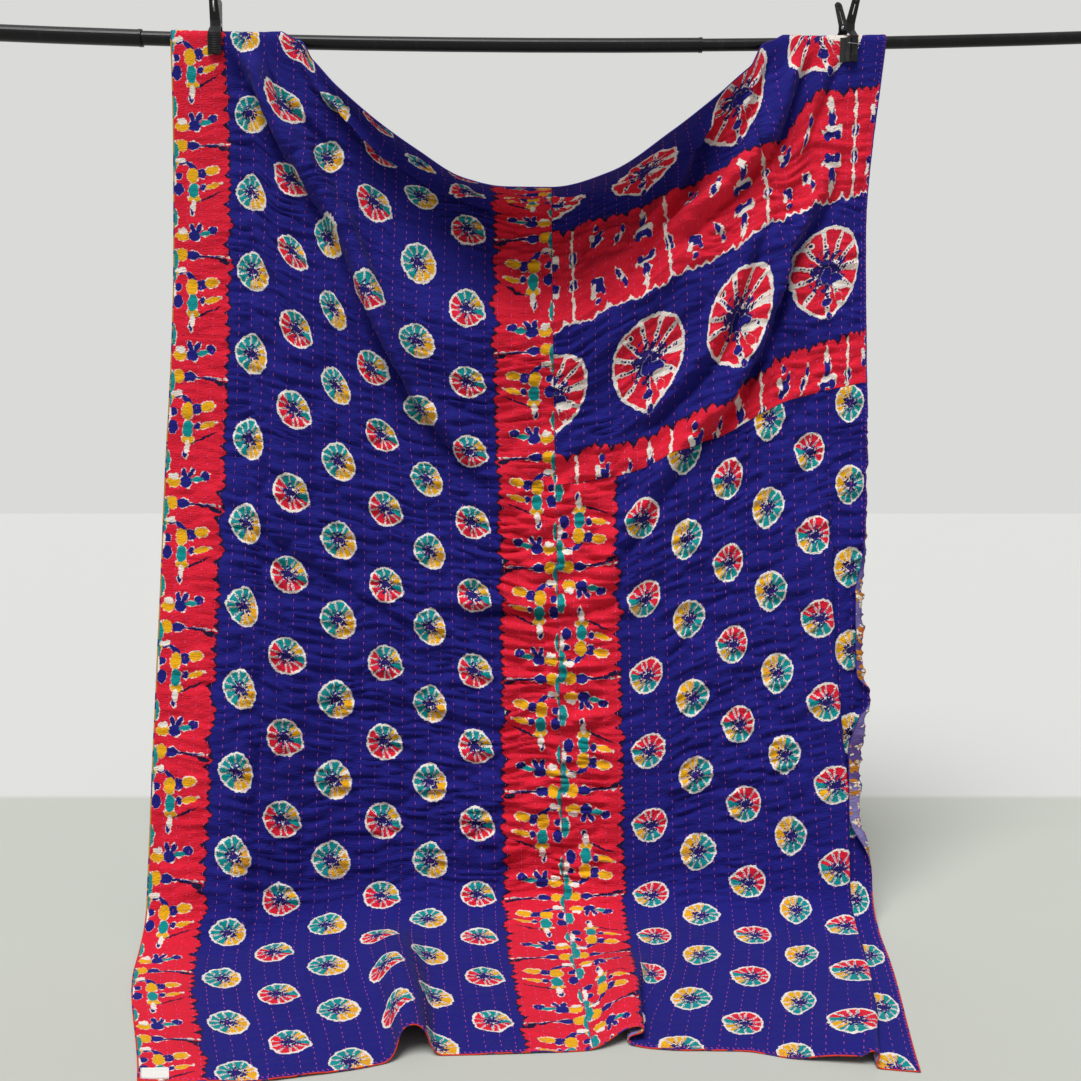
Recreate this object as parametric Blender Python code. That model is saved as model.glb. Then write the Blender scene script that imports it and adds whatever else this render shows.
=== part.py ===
"""A kantha quilt clipped over a telescopic crossbar, hanging down to the floor and out along it.

The quilt is two cloths sewn together all over: a printed front, pieced from three panels, and one
back cloth.  It hangs from the crossbar by two spring clamps, its top hem swags between them, and
its lower end turns forward and lies on the floor.

Metres, +Z up.  The origin is on the crossbar's axis at the middle of its length.  +X is to the
right of someone who faces the quilt, and the printed front faces -Y.

Every point of the cloth is worked out from its flat place: `across` from the left edge and `down`
from the top hem.
"""

import math

import bpy
import numpy as np
from mathutils import Vector

# --- Quilt, flat -------------------------------------------------------------------------------
QUILT_WIDTH = 1.500
QUILT_LENGTH = 2.355
HEM_SLANT = 0.106  # how much shorter the quilt is along its right edge, cut off the top hem
CENTRE_SEAM = 0.806  # across, between the left panel and the two right-hand panels
# down, between the end panel and the right panel, as (across, down)
CROSS_SEAM = ((0.806, 0.885), (0.920, 0.895), (1.020, 0.905), (1.150, 0.913), (1.265, 0.897), (1.385, 0.882),
              (1.500, 0.878))
CLOTH_THICKNESS = 0.0012
CLOTH_GAP = 0.0003  # between the front cloth and the back cloth
SEAM_GAP = 0.0010  # of flat cloth, between panels of the front

# --- Crossbar ----------------------------------------------------------------------------------
ROD_HALF_LENGTH = 1.080
ROD_LEFT_RADIUS = 0.0155
ROD_MIDDLE_RADIUS = 0.01325
ROD_RIGHT_RADIUS = 0.0116
ROD_WALL = 0.0011  # of the thinnest tube; each wider tube's bore just takes the next
ROD_LEFT_JOINT = -0.751
ROD_RIGHT_JOINT = 0.305
ROD_INSERT = 0.060  # how far a thinner tube reaches into the next
ROD_LIP = 0.0008
ROD_LIP_LENGTH = 0.006
ROD_CAP = 0.003
ROD_LOW_POINT = 0.120  # across the bar, where it sags lowest
ROD_BEND = 0.0175  # rise for each square metre away from the low point
ROD_SIDES = 24
ROD_STEP = 0.180
ROD_HEIGHT = 1.651  # of the bar's axis above the floor, at the origin
TUBE_GAP = 0.0004

# --- Clamps ------------------------------------------------------------------------------------
# name, x, turn about the vertical in degrees, reach of the jaws below the bar, jaw width, pad width
# and the radius of the knuckle on which each pad swivels
CLAMPS = (
    ("left_clamp", -0.611, 4.0, 0.030, 0.0240, 0.0260, 0.0035),
    ("right_clamp", 0.577, 24.0, 0.038, 0.0140, 0.0300, 0.0066),
)
PAD_THICKNESS = 0.0024
PAD_TOP = 0.006
PAD_GRIP_GAP = 0.0005
LEVER_PLATE = 0.0035
LEVER_GAP = 0.0003
LEVER_BODY_WIDTH = 0.0190
LEVER_HANDLE_WIDTH = 0.0150
SHOULDER_HEIGHT = 0.008
PIVOT_HEIGHT = 0.028
PIVOT_DEPTH = 0.0105  # from the pivot to the middle of each lever's plate
HANDLE_TOP_HEIGHT = 0.081
HANDLE_TOP_DEPTH = 0.030
HANDLE_END = ((0.0065, 1.0), (0.0030, 0.85), (0.0010, 0.58), (0.0, 0.25))  # (from the end, share of width)
EAR_RADIUS = 0.0060
EAR_THICKNESS = 0.0025
EAR_GAP = 0.0004
PIN_RADIUS = 0.0020
PIN_PROUD = 0.0008
PIN_GAP = 0.0003
SPRING_RADIUS = 0.0048
SPRING_HALF_LENGTH = 0.0036
HANDLE_HOLE_RADIUS = 0.0022
HANDLE_HOLE_FROM_END = 0.0085
SLOT_HALF_WIDTH = 0.0018
SLOT_FROM_END = (0.016, 0.036)

# --- Label -------------------------------------------------------------------------------------
LABEL_ACROSS = (0.004, 0.054)
LABEL_ALONG = (2.318, 2.350)
LABEL_THICKNESS = 0.0005

# --- How the quilt hangs -----------------------------------------------------------------------
# One row for each line down the quilt.  `across` is the line's flat place; the other columns are
# where it runs: x and y in plan, z as height above the floor.  `top` is where the line leaves the
# bar or, in the swag, the hem; `shelf` is SHELF_DROP below that along the cloth; `high` and `mid`
# are at HIGH_DOWN and MID_DOWN; `foot` is where it would meet the floor; `hem` is its lower end.
STATION_COLUMNS = (
    "across", "top_x", "top_y", "top_z", "shelf_z", "high_x", "high_z",
    "mid_x", "mid_z", "foot_x", "foot_y", "foot_down", "hem_x", "hem_y",
)
STATIONS = (
    (0, -0.693, -0.015, 1.661, 1.501, -0.692, 1.235, -0.708, 0.77, -0.722, -0.29, 1.87, -0.594, -0.755),
    (0.085, -0.611, -0.015, 1.657, 1.499, -0.612, 1.23, -0.628, 0.765, -0.648, -0.28, 1.86, -0.521, -0.755),
    (0.164, -0.54, -0.015, 1.655, 1.497, -0.543, 1.227, -0.553, 0.756, -0.571, -0.27, 1.85, -0.447, -0.755),
    (0.215, -0.494, -0.016, 1.653, 1.5, -0.5, 1.21, -0.517, 0.745, -0.53, -0.24, 1.835, -0.402, -0.752),
    (0.25, -0.455, -0.02, 1.64, 1.513, -0.467, 1.195, -0.484, 0.737, -0.5, -0.22, 1.825, -0.372, -0.745),
    (0.354, -0.378, -0.045, 1.566, 1.505, -0.386, 1.162, -0.386, 0.72, -0.404, -0.165, 1.805, -0.284, -0.722),
    (0.449, -0.3, -0.08, 1.497, 1.445, -0.311, 1.128, -0.298, 0.706, -0.308, -0.135, 1.795, -0.215, -0.69),
    (0.544, -0.223, -0.11, 1.44, 1.402, -0.233, 1.1, -0.214, 0.696, -0.216, -0.12, 1.79, -0.158, -0.68),
    (0.639, -0.14, -0.135, 1.388, 1.378, -0.14, 1.086, -0.132, 0.682, -0.122, -0.12, 1.79, -0.067, -0.676),
    (0.72, -0.064, -0.145, 1.371, 1.358, -0.064, 1.084, -0.052, 0.674, -0.045, -0.118, 1.79, 0.002, -0.672),
    (0.806, 0.02, -0.145, 1.37, 1.355, 0.024, 1.092, 0.032, 0.672, 0.046, -0.115, 1.79, 0.081, -0.664),
    (0.925, 0.125, -0.135, 1.398, 1.378, 0.134, 1.15, 0.149, 0.68, 0.163, -0.115, 1.795, 0.16, -0.64),
    (1.073, 0.24, -0.1, 1.476, 1.43, 0.27, 1.226, 0.279, 0.737, 0.306, -0.125, 1.828, 0.214, -0.665),
    (1.168, 0.32, -0.07, 1.54, 1.47, 0.36, 1.262, 0.358, 0.771, 0.401, -0.15, 1.85, 0.307, -0.667),
    (1.263, 0.403, -0.035, 1.612, 1.5, 0.444, 1.296, 0.431, 0.8, 0.484, -0.17, 1.872, 0.388, -0.69),
    (1.323, 0.47, -0.014, 1.652, 1.5, 0.491, 1.302, 0.484, 0.818, 0.532, -0.182, 1.888, 0.433, -0.7),
    (1.453, 0.603, -0.014, 1.654, 1.494, 0.573, 1.304, 0.587, 0.844, 0.595, -0.195, 1.912, 0.533, -0.722),
    (1.5, 0.648, -0.014, 1.655, 1.495, 0.617, 1.303, 0.624, 0.852, 0.63, -0.195, 1.915, 0.568, -0.728),
)
SHELF_DROP = 0.170
HIGH_DOWN = 0.575
MID_DOWN = 1.055
FOOT_BEND = 0.085  # half the length of cloth in the turn from hanging to lying
LYING_HEIGHT = 0.002  # of the quilt's middle above the floor
STRAIGHT_DROP = 0.055  # how far the quilt hangs upright below the clamps before it leans forward
LEAN_POWER = 1.4
SWAG_LINE = -0.020  # y from which the swag's lines lean, behind its forward lip
SLANT_RUN = (0.250, 1.300)  # across, where the top hem is cut on the slant

# Past the hem of the swag, how much of its lip's forward reach is left: (past, share).
COWL = (
    (0.0, 1.0), (0.07, 0.36), (0.14, -0.05), (0.26, -0.35), (0.40, -0.05), (0.50, 0.20), (0.70, 0.0),
    (2.40, 0.0),
)

# Where the top hem lies over the bar: `flap` is how far it hangs behind the bar's top.
FLAP = 0.070
WRAP_CLEARANCE = 0.00085  # between the bar and the back cloth
LEFT_LEAVES_BAR = (0.155, 0.250)
RIGHT_LEAVES_BAR = (1.285, 1.375)
LIFTS_OFF = 0.035  # across, in which the swag's hem lifts off the front of the bar
CROSSING_LIFT = 0.0035  # off the bar, where the hem crosses it
CLAMP_HOLD = (0.045, 0.120)  # past the bar, where the folds start

# Pleats that run down the quilt: across from, across to, then how far the cloth turns back under
# itself and how far it stands up as a tent, as tables of (along, degrees).
NO_TURN = ((0.0, 0.0), (2.0, 0.0), (2.355, 0.0))
LEFT_TENT = (0.400, 0.555, NO_TURN, ((0.0, 0.0), (1.85, 0.0), (2.05, 45.0), (2.355, 76.0)))
BAND_TUCK = (
    0.905, 1.005, ((0.0, 0.0), (1.98, 0.0), (2.12, 60.0), (2.25, 120.0), (2.355, 150.0)), NO_TURN,
)
EDGE_TUCK = (
    1.369, 1.434,
    ((0.0, 0.0), (0.95, 0.0), (1.07, 65.0), (1.23, 95.0), (1.39, 105.0), (1.55, 135.0),
     (1.65, 150.0), (2.20, 150.0), (2.355, 70.0)),
    ((0.0, 0.0), (2.17, 0.0), (2.355, 70.0)),
)
PLEATS = (LEFT_TENT, BAND_TUCK, EDGE_TUCK)
PLEAT_RUN_UP = 0.120
TUCK_FLATNESS = 0.50  # how much of a tuck's full depth is left after it is pressed down
EDGE_CURL = (
    (0.0, 0.0), (0.75, 0.0), (1.05, 0.036), (1.25, 0.032), (1.40, 0.030), (1.48, 0.020),
    (1.62, 0.034), (1.75, 0.022), (1.88, 0.0), (2.355, 0.0),
)
CURL_LENGTH = 0.038  # of cloth, in which the curl turns by CURL_TURN degrees
CURL_TURN = 112.0
FINE_STEPS = 1501
NORMAL_STEP = 0.0005

# Soft folds that hang from the clamps, as (across, down, forward) along each.
FOLDS = (
    ((0.15, 0.10, 0.010), (0.31, 0.36, 0.014), (0.42, 0.53, 0.014), (0.53, 0.68, 0.012), (0.66, 0.82, 0.0)),
    ((0.81, 0.67, 0.0), (0.93, 0.61, 0.012), (1.08, 0.52, 0.014), (1.19, 0.36, 0.014), (1.33, 0.17, 0.008)),
    ((1.37, 0.20, 0.006), (1.30, 0.43, 0.010), (1.20, 0.69, 0.012), (1.10, 0.90, 0.012), (0.99, 1.05, 0.010),
     (0.77, 1.28, 0.0)),
)
FOLD_REACH = 0.090
FOLDS_END = (0.25, 0.05)  # above the foot, where they start to fade and are gone


# --- Smooth curves -----------------------------------------------------------------------------
def ease(t):
    """A smooth step from 0 to 1 as t goes from 0 to 1."""
    t = np.clip(t, 0.0, 1.0)
    return t * t * (3.0 - 2.0 * t)


def between(low, high, x):
    """A smooth step from 0 to 1 as x goes from low to high."""
    return ease((x - low) / (high - low))


def through(knots, values, x):
    """Smooth curves through (knots, values) that never overshoot, read at x.

    The first axis of `knots` and `values` runs along each curve.  Their other axes match `x`, or
    are missing where one curve serves for all of `x`.  Past its ends a curve goes on straight.
    """
    x = np.asarray(x, dtype=float)
    knots = np.asarray(knots, dtype=float)
    values = np.asarray(values, dtype=float)
    if knots.ndim == 1:
        knots = knots.reshape(-1, *[1] * x.ndim)
    if values.ndim == 1:
        values = values.reshape(-1, *[1] * x.ndim)
    gaps = np.diff(knots, axis=0)
    slopes = np.diff(values, axis=0) / gaps
    before, after = slopes[:-1], slopes[1:]
    same_way = before * after > 0.0
    total = np.where(same_way, before + after, 1.0)
    inner = np.where(same_way, 2.0 * before * after / total, 0.0)
    tangents = np.concatenate([slopes[:1], inner, slopes[-1:]])
    result = values[0] + tangents[0] * (x - knots[0])
    for i in range(len(gaps)):
        t = (x - knots[i]) / gaps[i]
        curve = (
            values[i] * (1.0 + 2.0 * t) * (1.0 - t) ** 2
            + tangents[i] * gaps[i] * t * (1.0 - t) ** 2
            + values[i + 1] * t * t * (3.0 - 2.0 * t)
            + tangents[i + 1] * gaps[i] * t * t * (t - 1.0)
        )
        result = np.where(x >= knots[i], curve, result)
    straight_on = values[-1] + tangents[-1] * (x - knots[-1])
    return np.where(x > knots[-1], straight_on, result)


# --- The crossbar's line -----------------------------------------------------------------------
def bar_height(x):
    """Height of the bar's axis above the floor."""
    return ROD_HEIGHT + ROD_BEND * ((x - ROD_LOW_POINT) ** 2 - ROD_LOW_POINT ** 2)


def wrap_radius(x):
    """Radius at which the quilt's middle goes round the bar."""
    bar = np.where(x < ROD_RIGHT_JOINT, ROD_MIDDLE_RADIUS, ROD_RIGHT_RADIUS)
    return bar + WRAP_CLEARANCE + CLOTH_GAP / 2 + CLOTH_THICKNESS


# --- The quilt's surface -----------------------------------------------------------------------
def station(name):
    """The named column of the station table."""
    return np.array([row[STATION_COLUMNS.index(name)] for row in STATIONS])


def top_hem(across):
    """How far down the flat quilt its slanting top hem lies."""
    return HEM_SLANT * between(*SLANT_RUN, across)


def cross_seam(across):
    """How far down the flat quilt the cross seam lies."""
    return np.interp(across, *zip(*CROSS_SEAM))


def down_of(across, along):
    """Flat distance down at `along`, which goes from 0 at the top hem to QUILT_LENGTH."""
    return top_hem(across) + along * (1.0 - top_hem(across) / QUILT_LENGTH)


def along_of(across, down):
    """The `along` that gives this flat distance down."""
    return (down - top_hem(across)) / (1.0 - top_hem(across) / QUILT_LENGTH)


def over_bar(across):
    """1 where the top hem hangs behind the bar, 0 along the swag, and between as it crosses."""
    return 1.0 - between(*LEFT_LEAVES_BAR, across) + between(*RIGHT_LEAVES_BAR, across)


def on_bar(across):
    """1 where the quilt touches the bar, 0 along the swag."""
    left_end, right_end = LEFT_LEAVES_BAR[1], RIGHT_LEAVES_BAR[0]
    lifted = between(left_end, left_end + LIFTS_OFF, across)
    return 1.0 - lifted + between(right_end - LIFTS_OFF, right_end, across)


def headings(flat, along):
    """Which way the cloth heads across the quilt, as an angle from straight across.

    Up from the surface is positive.  Each pleat turns the cloth back under itself and forward
    again, and each tent turns it up and down again.
    """
    heading = np.zeros_like(flat)
    for start, end, tuck, tent in PLEATS:
        t = np.clip((flat - start) / (end - start), 0.0, 1.0)
        heading -= np.radians(through(*zip(*tuck), along)) * np.sin(math.pi * t) ** 2
        heading += np.radians(through(*zip(*tent), along)) * np.sin(2.0 * math.pi * t)
    return heading


def pressed(flat, along):
    """How much of its depth each place keeps: TUCK_FLATNESS in a tuck, and all of it in a tent."""
    kept = np.ones_like(flat)
    for start, end, tuck, tent in PLEATS:
        tucked = through(*zip(*tuck), along)
        share = tucked / np.maximum(tucked + through(*zip(*tent), along), 1.0)
        kept = np.where((flat > start) & (flat < end), 1.0 - (1.0 - TUCK_FLATNESS) * share, kept)
    return kept


def running_total(rate, flat):
    """The integral of `rate` over `flat`, from 0."""
    steps = np.diff(flat) * (rate[1:] + rate[:-1]) / 2.0
    return np.concatenate([[0.0], np.cumsum(steps)])


def pleated(along_at):
    """Width taken across, the edge curl's part of it, and rise, for one row of the quilt.

    `along_at` gives the row's `along` at any flat places across.  Returns the flat places and
    the three amounts there.
    """
    flat = np.linspace(0.0, QUILT_WIDTH, FINE_STEPS)
    along = along_at(flat)
    heading = headings(flat, along)
    climb = np.sin(heading)
    climb = np.where(climb < 0.0, climb * pressed(flat, along), climb)
    rise = running_total(climb, flat)
    for start, end, _, _ in PLEATS:
        inside = (flat >= start) & (flat <= end)
        drop = -running_total(np.where(inside, climb, 0.0), flat)[-1]
        rise += drop * between(start - PLEAT_RUN_UP, start, flat)
    curl_width, curl_rise = curl(flat, along)
    return flat, running_total(np.cos(heading), flat), curl_width, rise + curl_rise


def curl(flat, along):
    """Change of width, and rise, where the right edge curls forward and lies back over the front."""
    reach = np.maximum(through(*zip(*EDGE_CURL), along), 0.0)
    turned = math.radians(CURL_TURN) * ease((flat - (QUILT_WIDTH - reach)) / CURL_LENGTH)
    return running_total(np.cos(turned) - 1.0, flat), running_total(np.sin(turned), flat)


def row_x(across, along_at, width_at):
    """x of each place in one row, drawn through the stations, before its edge curls."""
    flat = station("across")
    leaves = leaves_bar_at(flat, station("top_x"))
    knots = np.array([
        leaves,
        np.full_like(flat, HIGH_DOWN),
        np.full_like(flat, MID_DOWN),
        station("foot_down"),
        np.full_like(flat, QUILT_LENGTH),
    ])
    levels = np.array([station(f"{level}_x") for level in ("top", "high", "mid", "foot", "hem")])
    down = np.maximum(down_of(flat, along_at(flat)), leaves)
    return through(width_at(flat), through(knots, levels, down), width_at(across))


def leaves_bar_at(across, x):
    """How far down each line leaves the front of the bar, or starts as the hem of the swag."""
    quarter = wrap_radius(x) * math.pi / 2
    return top_hem(across) + (FLAP + quarter) * over_bar(across)


def profile(lines, x, past):
    """y and height of each line down the quilt, `past` beyond the place where it leaves the bar.

    `lines` holds the station table read at each line, and how far the line is held by the bar.
    """
    held = lines["held"]
    radius = wrap_radius(x) + CROSSING_LIFT * lines["crossing"]
    top_y = lines["top_y"] * (1.0 - held) - radius * held
    top_z = lines["top_z"] * (1.0 - held) + bar_height(x) * held
    leaves = lines["leaves"]
    foot = lines["foot_down"] - leaves
    turn = np.clip((past - foot) / FOOT_BEND, -1.0, 1.0)
    lying = np.where(turn < 1.0, FOOT_BEND * (turn + 1.0) ** 2 / 4.0, past - foot)
    hanging = past - lying
    shelf = np.full_like(foot, SHELF_DROP)
    knots = np.array([0.0 * foot, shelf, HIGH_DOWN - leaves, MID_DOWN - leaves, foot])
    floor = np.full_like(foot, LYING_HEIGHT)
    heights = np.array([top_z, lines["shelf_z"], lines["high_z"], lines["mid_z"], floor])
    z = through(knots, heights, hanging)
    lean = np.clip((hanging - STRAIGHT_DROP) / (foot - STRAIGHT_DROP), 0.0, 1.0) ** LEAN_POWER
    lip = (top_y - SWAG_LINE) * (1.0 - held)
    start_y = top_y - lip
    floor_run = (lines["hem_y"] - lines["foot_y"]) / (QUILT_LENGTH - lines["foot_down"])
    y = start_y + (lines["foot_y"] - start_y) * lean + lip * through(*zip(*COWL), hanging)
    y = y + lying * floor_run
    angle = np.clip(past / radius, -math.pi, 0.0)
    behind = np.minimum(past + math.pi * radius, 0.0)
    round_bar = (past < 0.0) & (lines["over"] > 0.0)
    y = np.where(round_bar, -radius * np.cos(angle), y)
    z = np.where(round_bar, bar_height(x) - radius * np.sin(angle) + behind, z)
    return y, z


def folds_forward(across, down):
    """How far the soft folds bring the hanging cloth forward."""
    forward = np.zeros_like(across)
    for fold in FOLDS:
        places, height = np.array(fold)[:, :2], np.array(fold)[:, 2]
        nearest = np.full_like(across, FOLD_REACH)
        swell = np.zeros_like(across)
        for i in range(len(places) - 1):
            run = places[i + 1] - places[i]
            t = ((across - places[i, 0]) * run[0] + (down - places[i, 1]) * run[1]) / (run @ run)
            t = np.clip(t, 0.0, 1.0)
            far = np.hypot(across - places[i, 0] - t * run[0], down - places[i, 1] - t * run[1])
            closer = far < nearest
            nearest = np.where(closer, far, nearest)
            swell = np.where(closer, height[i] + t * (height[i + 1] - height[i]), swell)
        forward += swell * np.cos(nearest / FOLD_REACH * math.pi / 2) ** 2
    return forward


def cloth_row(across, along):
    """The points of one row of the quilt's middle surface, in the part's own frame."""
    def along_at(places):
        return np.interp(places, across, along)

    flat, width, curl_width, rise = pleated(along_at)
    x = row_x(across, along_at, lambda places: np.interp(places, flat, width))
    names = ("top_y", "top_z", "shelf_z", "high_z", "mid_z", "foot_y", "foot_down", "hem_y")
    lines = {name: through(station("across"), station(name), across) for name in names}
    lines["leaves"] = leaves_bar_at(across, x)
    lines["held"] = on_bar(across)
    lines["over"] = over_bar(across)
    lines["crossing"] = lines["held"] * (1.0 - lines["over"])
    down = down_of(across, along)
    past = down - lines["leaves"]
    y, z = profile(lines, x, past)
    y_before, z_before = profile(lines, x, past - NORMAL_STEP)
    y_after, z_after = profile(lines, x, past + NORMAL_STEP)
    length = np.hypot(y_after - y_before, z_after - z_before)
    loose = between(*CLAMP_HOLD, past)
    loose = loose * (1.0 - between(-FOLDS_END[0], -FOLDS_END[1], down - lines["foot_down"]))
    lift = np.interp(across, flat, rise) + folds_forward(across, down) * loose
    x = x + np.interp(across, flat, curl_width)
    y = y + (z_after - z_before) / length * lift
    z = z - (y_after - y_before) / length * lift
    return np.stack([x, y, z - ROD_HEIGHT], axis=-1)


# --- Solids ------------------------------------------------------------------------------------
ACROSS_LINES = (
    0.0, 0.085, 0.155, 0.195, 0.205, 0.215, 0.225, 0.235, 0.245, 0.285, 0.354, 0.400, 0.440, 0.478, 0.515,
    0.555, 0.639, CENTRE_SEAM, 0.905, 0.930, 0.955, 0.980, 1.005, 1.073, 1.168, 1.250, 1.285,
    1.295, 1.305, 1.315, 1.325, 1.335, 1.369, 1.385, 1.402, 1.418, 1.434, 1.455, 1.466, 1.477, 1.488,
    QUILT_WIDTH,
)
LINES_ABOVE_SEAM = (
    0.0, 0.0462, 0.0542, 0.0622, 0.0701, 0.0780, 0.0859, 0.0940, 0.130, 0.200, 0.300, 0.420, 0.540,
    0.690,
)
LINES_BELOW_SEAM = (
    0.970, 1.090, 1.220, 1.350, 1.480, 1.600, 1.700, 1.790, 1.880, 1.970, 2.070, 2.170, 2.270, QUILT_LENGTH,
)
SHARPEST_FOLD = 0.5  # cosine of half the sharpest fold that a sheet's thickness follows
HEM_CROWDING = 0.0030  # apart, where the lines that go round the bar run along the swag's hem
SHIFT_ENDS = 0.875  # along, where the lines no longer move up with the swag's hem


def material(name, colour, roughness, metallic=0.0):
    """A Principled material; `colour` is linear red, green and blue."""
    made = bpy.data.materials.new(name)
    made.use_nodes = True
    shader = made.node_tree.nodes["Principled BSDF"]
    shader.inputs["Base Color"].default_value = (*colour, 1.0)
    shader.inputs["Roughness"].default_value = roughness
    shader.inputs["Metallic"].default_value = metallic
    return made


def add_object(name, points, faces, finish, parent=None):
    """A new object from vertices and faces, shaded smooth except at its sharp edges."""
    mesh = bpy.data.meshes.new(name)
    mesh.from_pydata([tuple(map(float, point)) for point in points], [], faces)
    mesh.validate()
    mesh.materials.append(finish)
    mesh.shade_smooth()
    mesh.set_sharp_from_angle(angle=math.radians(35.0))
    made = bpy.data.objects.new(name, mesh)
    bpy.context.collection.objects.link(made)
    made.parent = parent
    return made


def bisected(points, axis):
    """Directions along one axis of a grid of points, halfway between the steps on either side.

    Also returns how well each direction agrees with its steps, 1 where they run straight on.
    """
    steps = np.diff(points, axis=axis)
    steps /= np.linalg.norm(steps, axis=-1, keepdims=True)
    first, last = np.take(steps, [0], axis), np.take(steps, [-1], axis)
    before = np.concatenate([first, steps], axis)
    after = np.concatenate([steps, last], axis)
    middle = before + after
    middle /= np.linalg.norm(middle, axis=-1, keepdims=True)
    return middle, (middle * after).sum(axis=-1, keepdims=True)


def cloth_points(across, rows):
    """Middle-surface points, and offsets to the front that keep a sheet's thickness at its folds.

    The first axis runs down the rows.
    """
    points = np.array([cloth_row(across, along) for along in rows])
    downward, straight_down = bisected(points, 0)
    sideways, straight_across = bisected(points, 1)
    normal = np.cross(downward, sideways)
    normal /= np.linalg.norm(normal, axis=-1, keepdims=True)
    return points, normal / np.maximum(straight_down * straight_across, SHARPEST_FOLD)


def sheet(name, across, rows, low, high, finish):
    """A closed sheet between two offsets from the quilt's middle surface, positive to the front."""
    across = np.array(across)
    middle, normals = cloth_points(across, rows)
    count_down, count_across = middle.shape[:2]
    front = (middle + normals * high).reshape(-1, 3)
    back = (middle + normals * low).reshape(-1, 3)
    size = len(front)
    faces = []

    def corner(down, sideways):
        return down * count_across + sideways

    for j in range(count_down - 1):
        for i in range(count_across - 1):
            a, b = corner(j, i), corner(j, i + 1)
            c, d = corner(j + 1, i + 1), corner(j + 1, i)
            faces += [(a, d, c), (a, c, b), (size + a, size + c, size + d), (size + a, size + b, size + c)]
    rim = [corner(j, 0) for j in range(count_down)]
    rim += [corner(count_down - 1, i) for i in range(1, count_across)]
    rim += [corner(j, count_across - 1) for j in range(count_down - 2, -1, -1)]
    rim += [corner(0, i) for i in range(count_across - 2, 0, -1)]
    for first, second in zip(rim, rim[1:] + rim[:1]):
        faces += [(second, first, size + first), (second, size + first, size + second)]
    return add_object(name, np.concatenate([front, back]), faces, finish)


def add_quilt():
    """The three front panels, the back cloth and the corner label."""
    half_gap = CLOTH_GAP / 2
    half_seam = SEAM_GAP / 2
    seam = ACROSS_LINES.index(CENTRE_SEAM)
    left = np.array(ACROSS_LINES[:seam] + (CENTRE_SEAM - half_seam,))
    right = np.array((CENTRE_SEAM + half_seam,) + ACROSS_LINES[seam + 1:])
    whole = np.array(ACROSS_LINES)

    def above(across):
        lost = LINES_ABOVE_SEAM[7] * (1.0 - over_bar(across))
        rows = []
        for i, along in enumerate(LINES_ABOVE_SEAM):
            fade = np.clip((SHIFT_ENDS - along) / (SHIFT_ENDS - LINES_ABOVE_SEAM[7]), 0.0, 1.0)
            rows.append(np.maximum(along - lost * fade, i * HEM_CROWDING))
        return rows

    def below(across):
        return [np.full_like(across, along) for along in LINES_BELOW_SEAM]

    def seam_line(across, shift=0.0):
        return [along_of(across, cross_seam(across) + shift)]

    face = (half_gap, half_gap + CLOTH_THICKNESS)
    indigo = material("indigo_print_cotton", (0.028, 0.021, 0.240), 0.85)
    crimson = material("crimson_print_cotton", (0.600, 0.020, 0.040), 0.85)
    lilac = material("lilac_print_cotton", (0.180, 0.090, 0.300), 0.85)
    white = material("white_label_tape", (0.800, 0.800, 0.780), 0.80)
    sheet("front_panel_left", left, above(left) + seam_line(left) + below(left), *face, indigo)
    sheet("front_panel_end", right, above(right) + seam_line(right, -half_seam), *face, crimson)
    sheet("front_panel_right", right, seam_line(right, half_seam) + below(right), *face, indigo)
    sheet(
        "back_cloth", whole, above(whole) + seam_line(whole) + below(whole),
        -half_gap - CLOTH_THICKNESS, -half_gap, lilac,
    )
    lifted = half_gap + CLOTH_THICKNESS + CLOTH_GAP
    label = np.array(LABEL_ACROSS)
    sheet(
        "corner_label", label, [np.full_like(label, along) for along in LABEL_ALONG],
        lifted, lifted + LABEL_THICKNESS, white,
    )


def bar_tube(name, rings, is_loop, finish):
    """A tube along the bar's line through rings of (x, radius).

    A loop of rings closes on itself; otherwise the first and last rings are filled.
    """
    points = []
    for x, radius in rings:
        for side in range(ROD_SIDES):
            turn = 2.0 * math.pi * side / ROD_SIDES
            height = bar_height(x) - ROD_HEIGHT
            points.append((x, radius * math.cos(turn), height + radius * math.sin(turn)))
    faces = []
    for ring in range(len(rings) if is_loop else len(rings) - 1):
        start = ring * ROD_SIDES
        following = (ring + 1) % len(rings) * ROD_SIDES
        for side in range(ROD_SIDES):
            beside = (side + 1) % ROD_SIDES
            faces.append((start + side, start + beside, following + beside, following + side))
    if not is_loop:
        faces.append(tuple(range(ROD_SIDES))[::-1])
        faces.append(tuple(len(points) - ROD_SIDES + side for side in range(ROD_SIDES)))
    return add_object(name, points, faces, finish)


def stops(start, end):
    """x values from start to end, ROD_STEP or less apart."""
    count = max(1, math.ceil(abs(end - start) / ROD_STEP))
    return [start + (end - start) * i / count for i in range(count + 1)]


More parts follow.
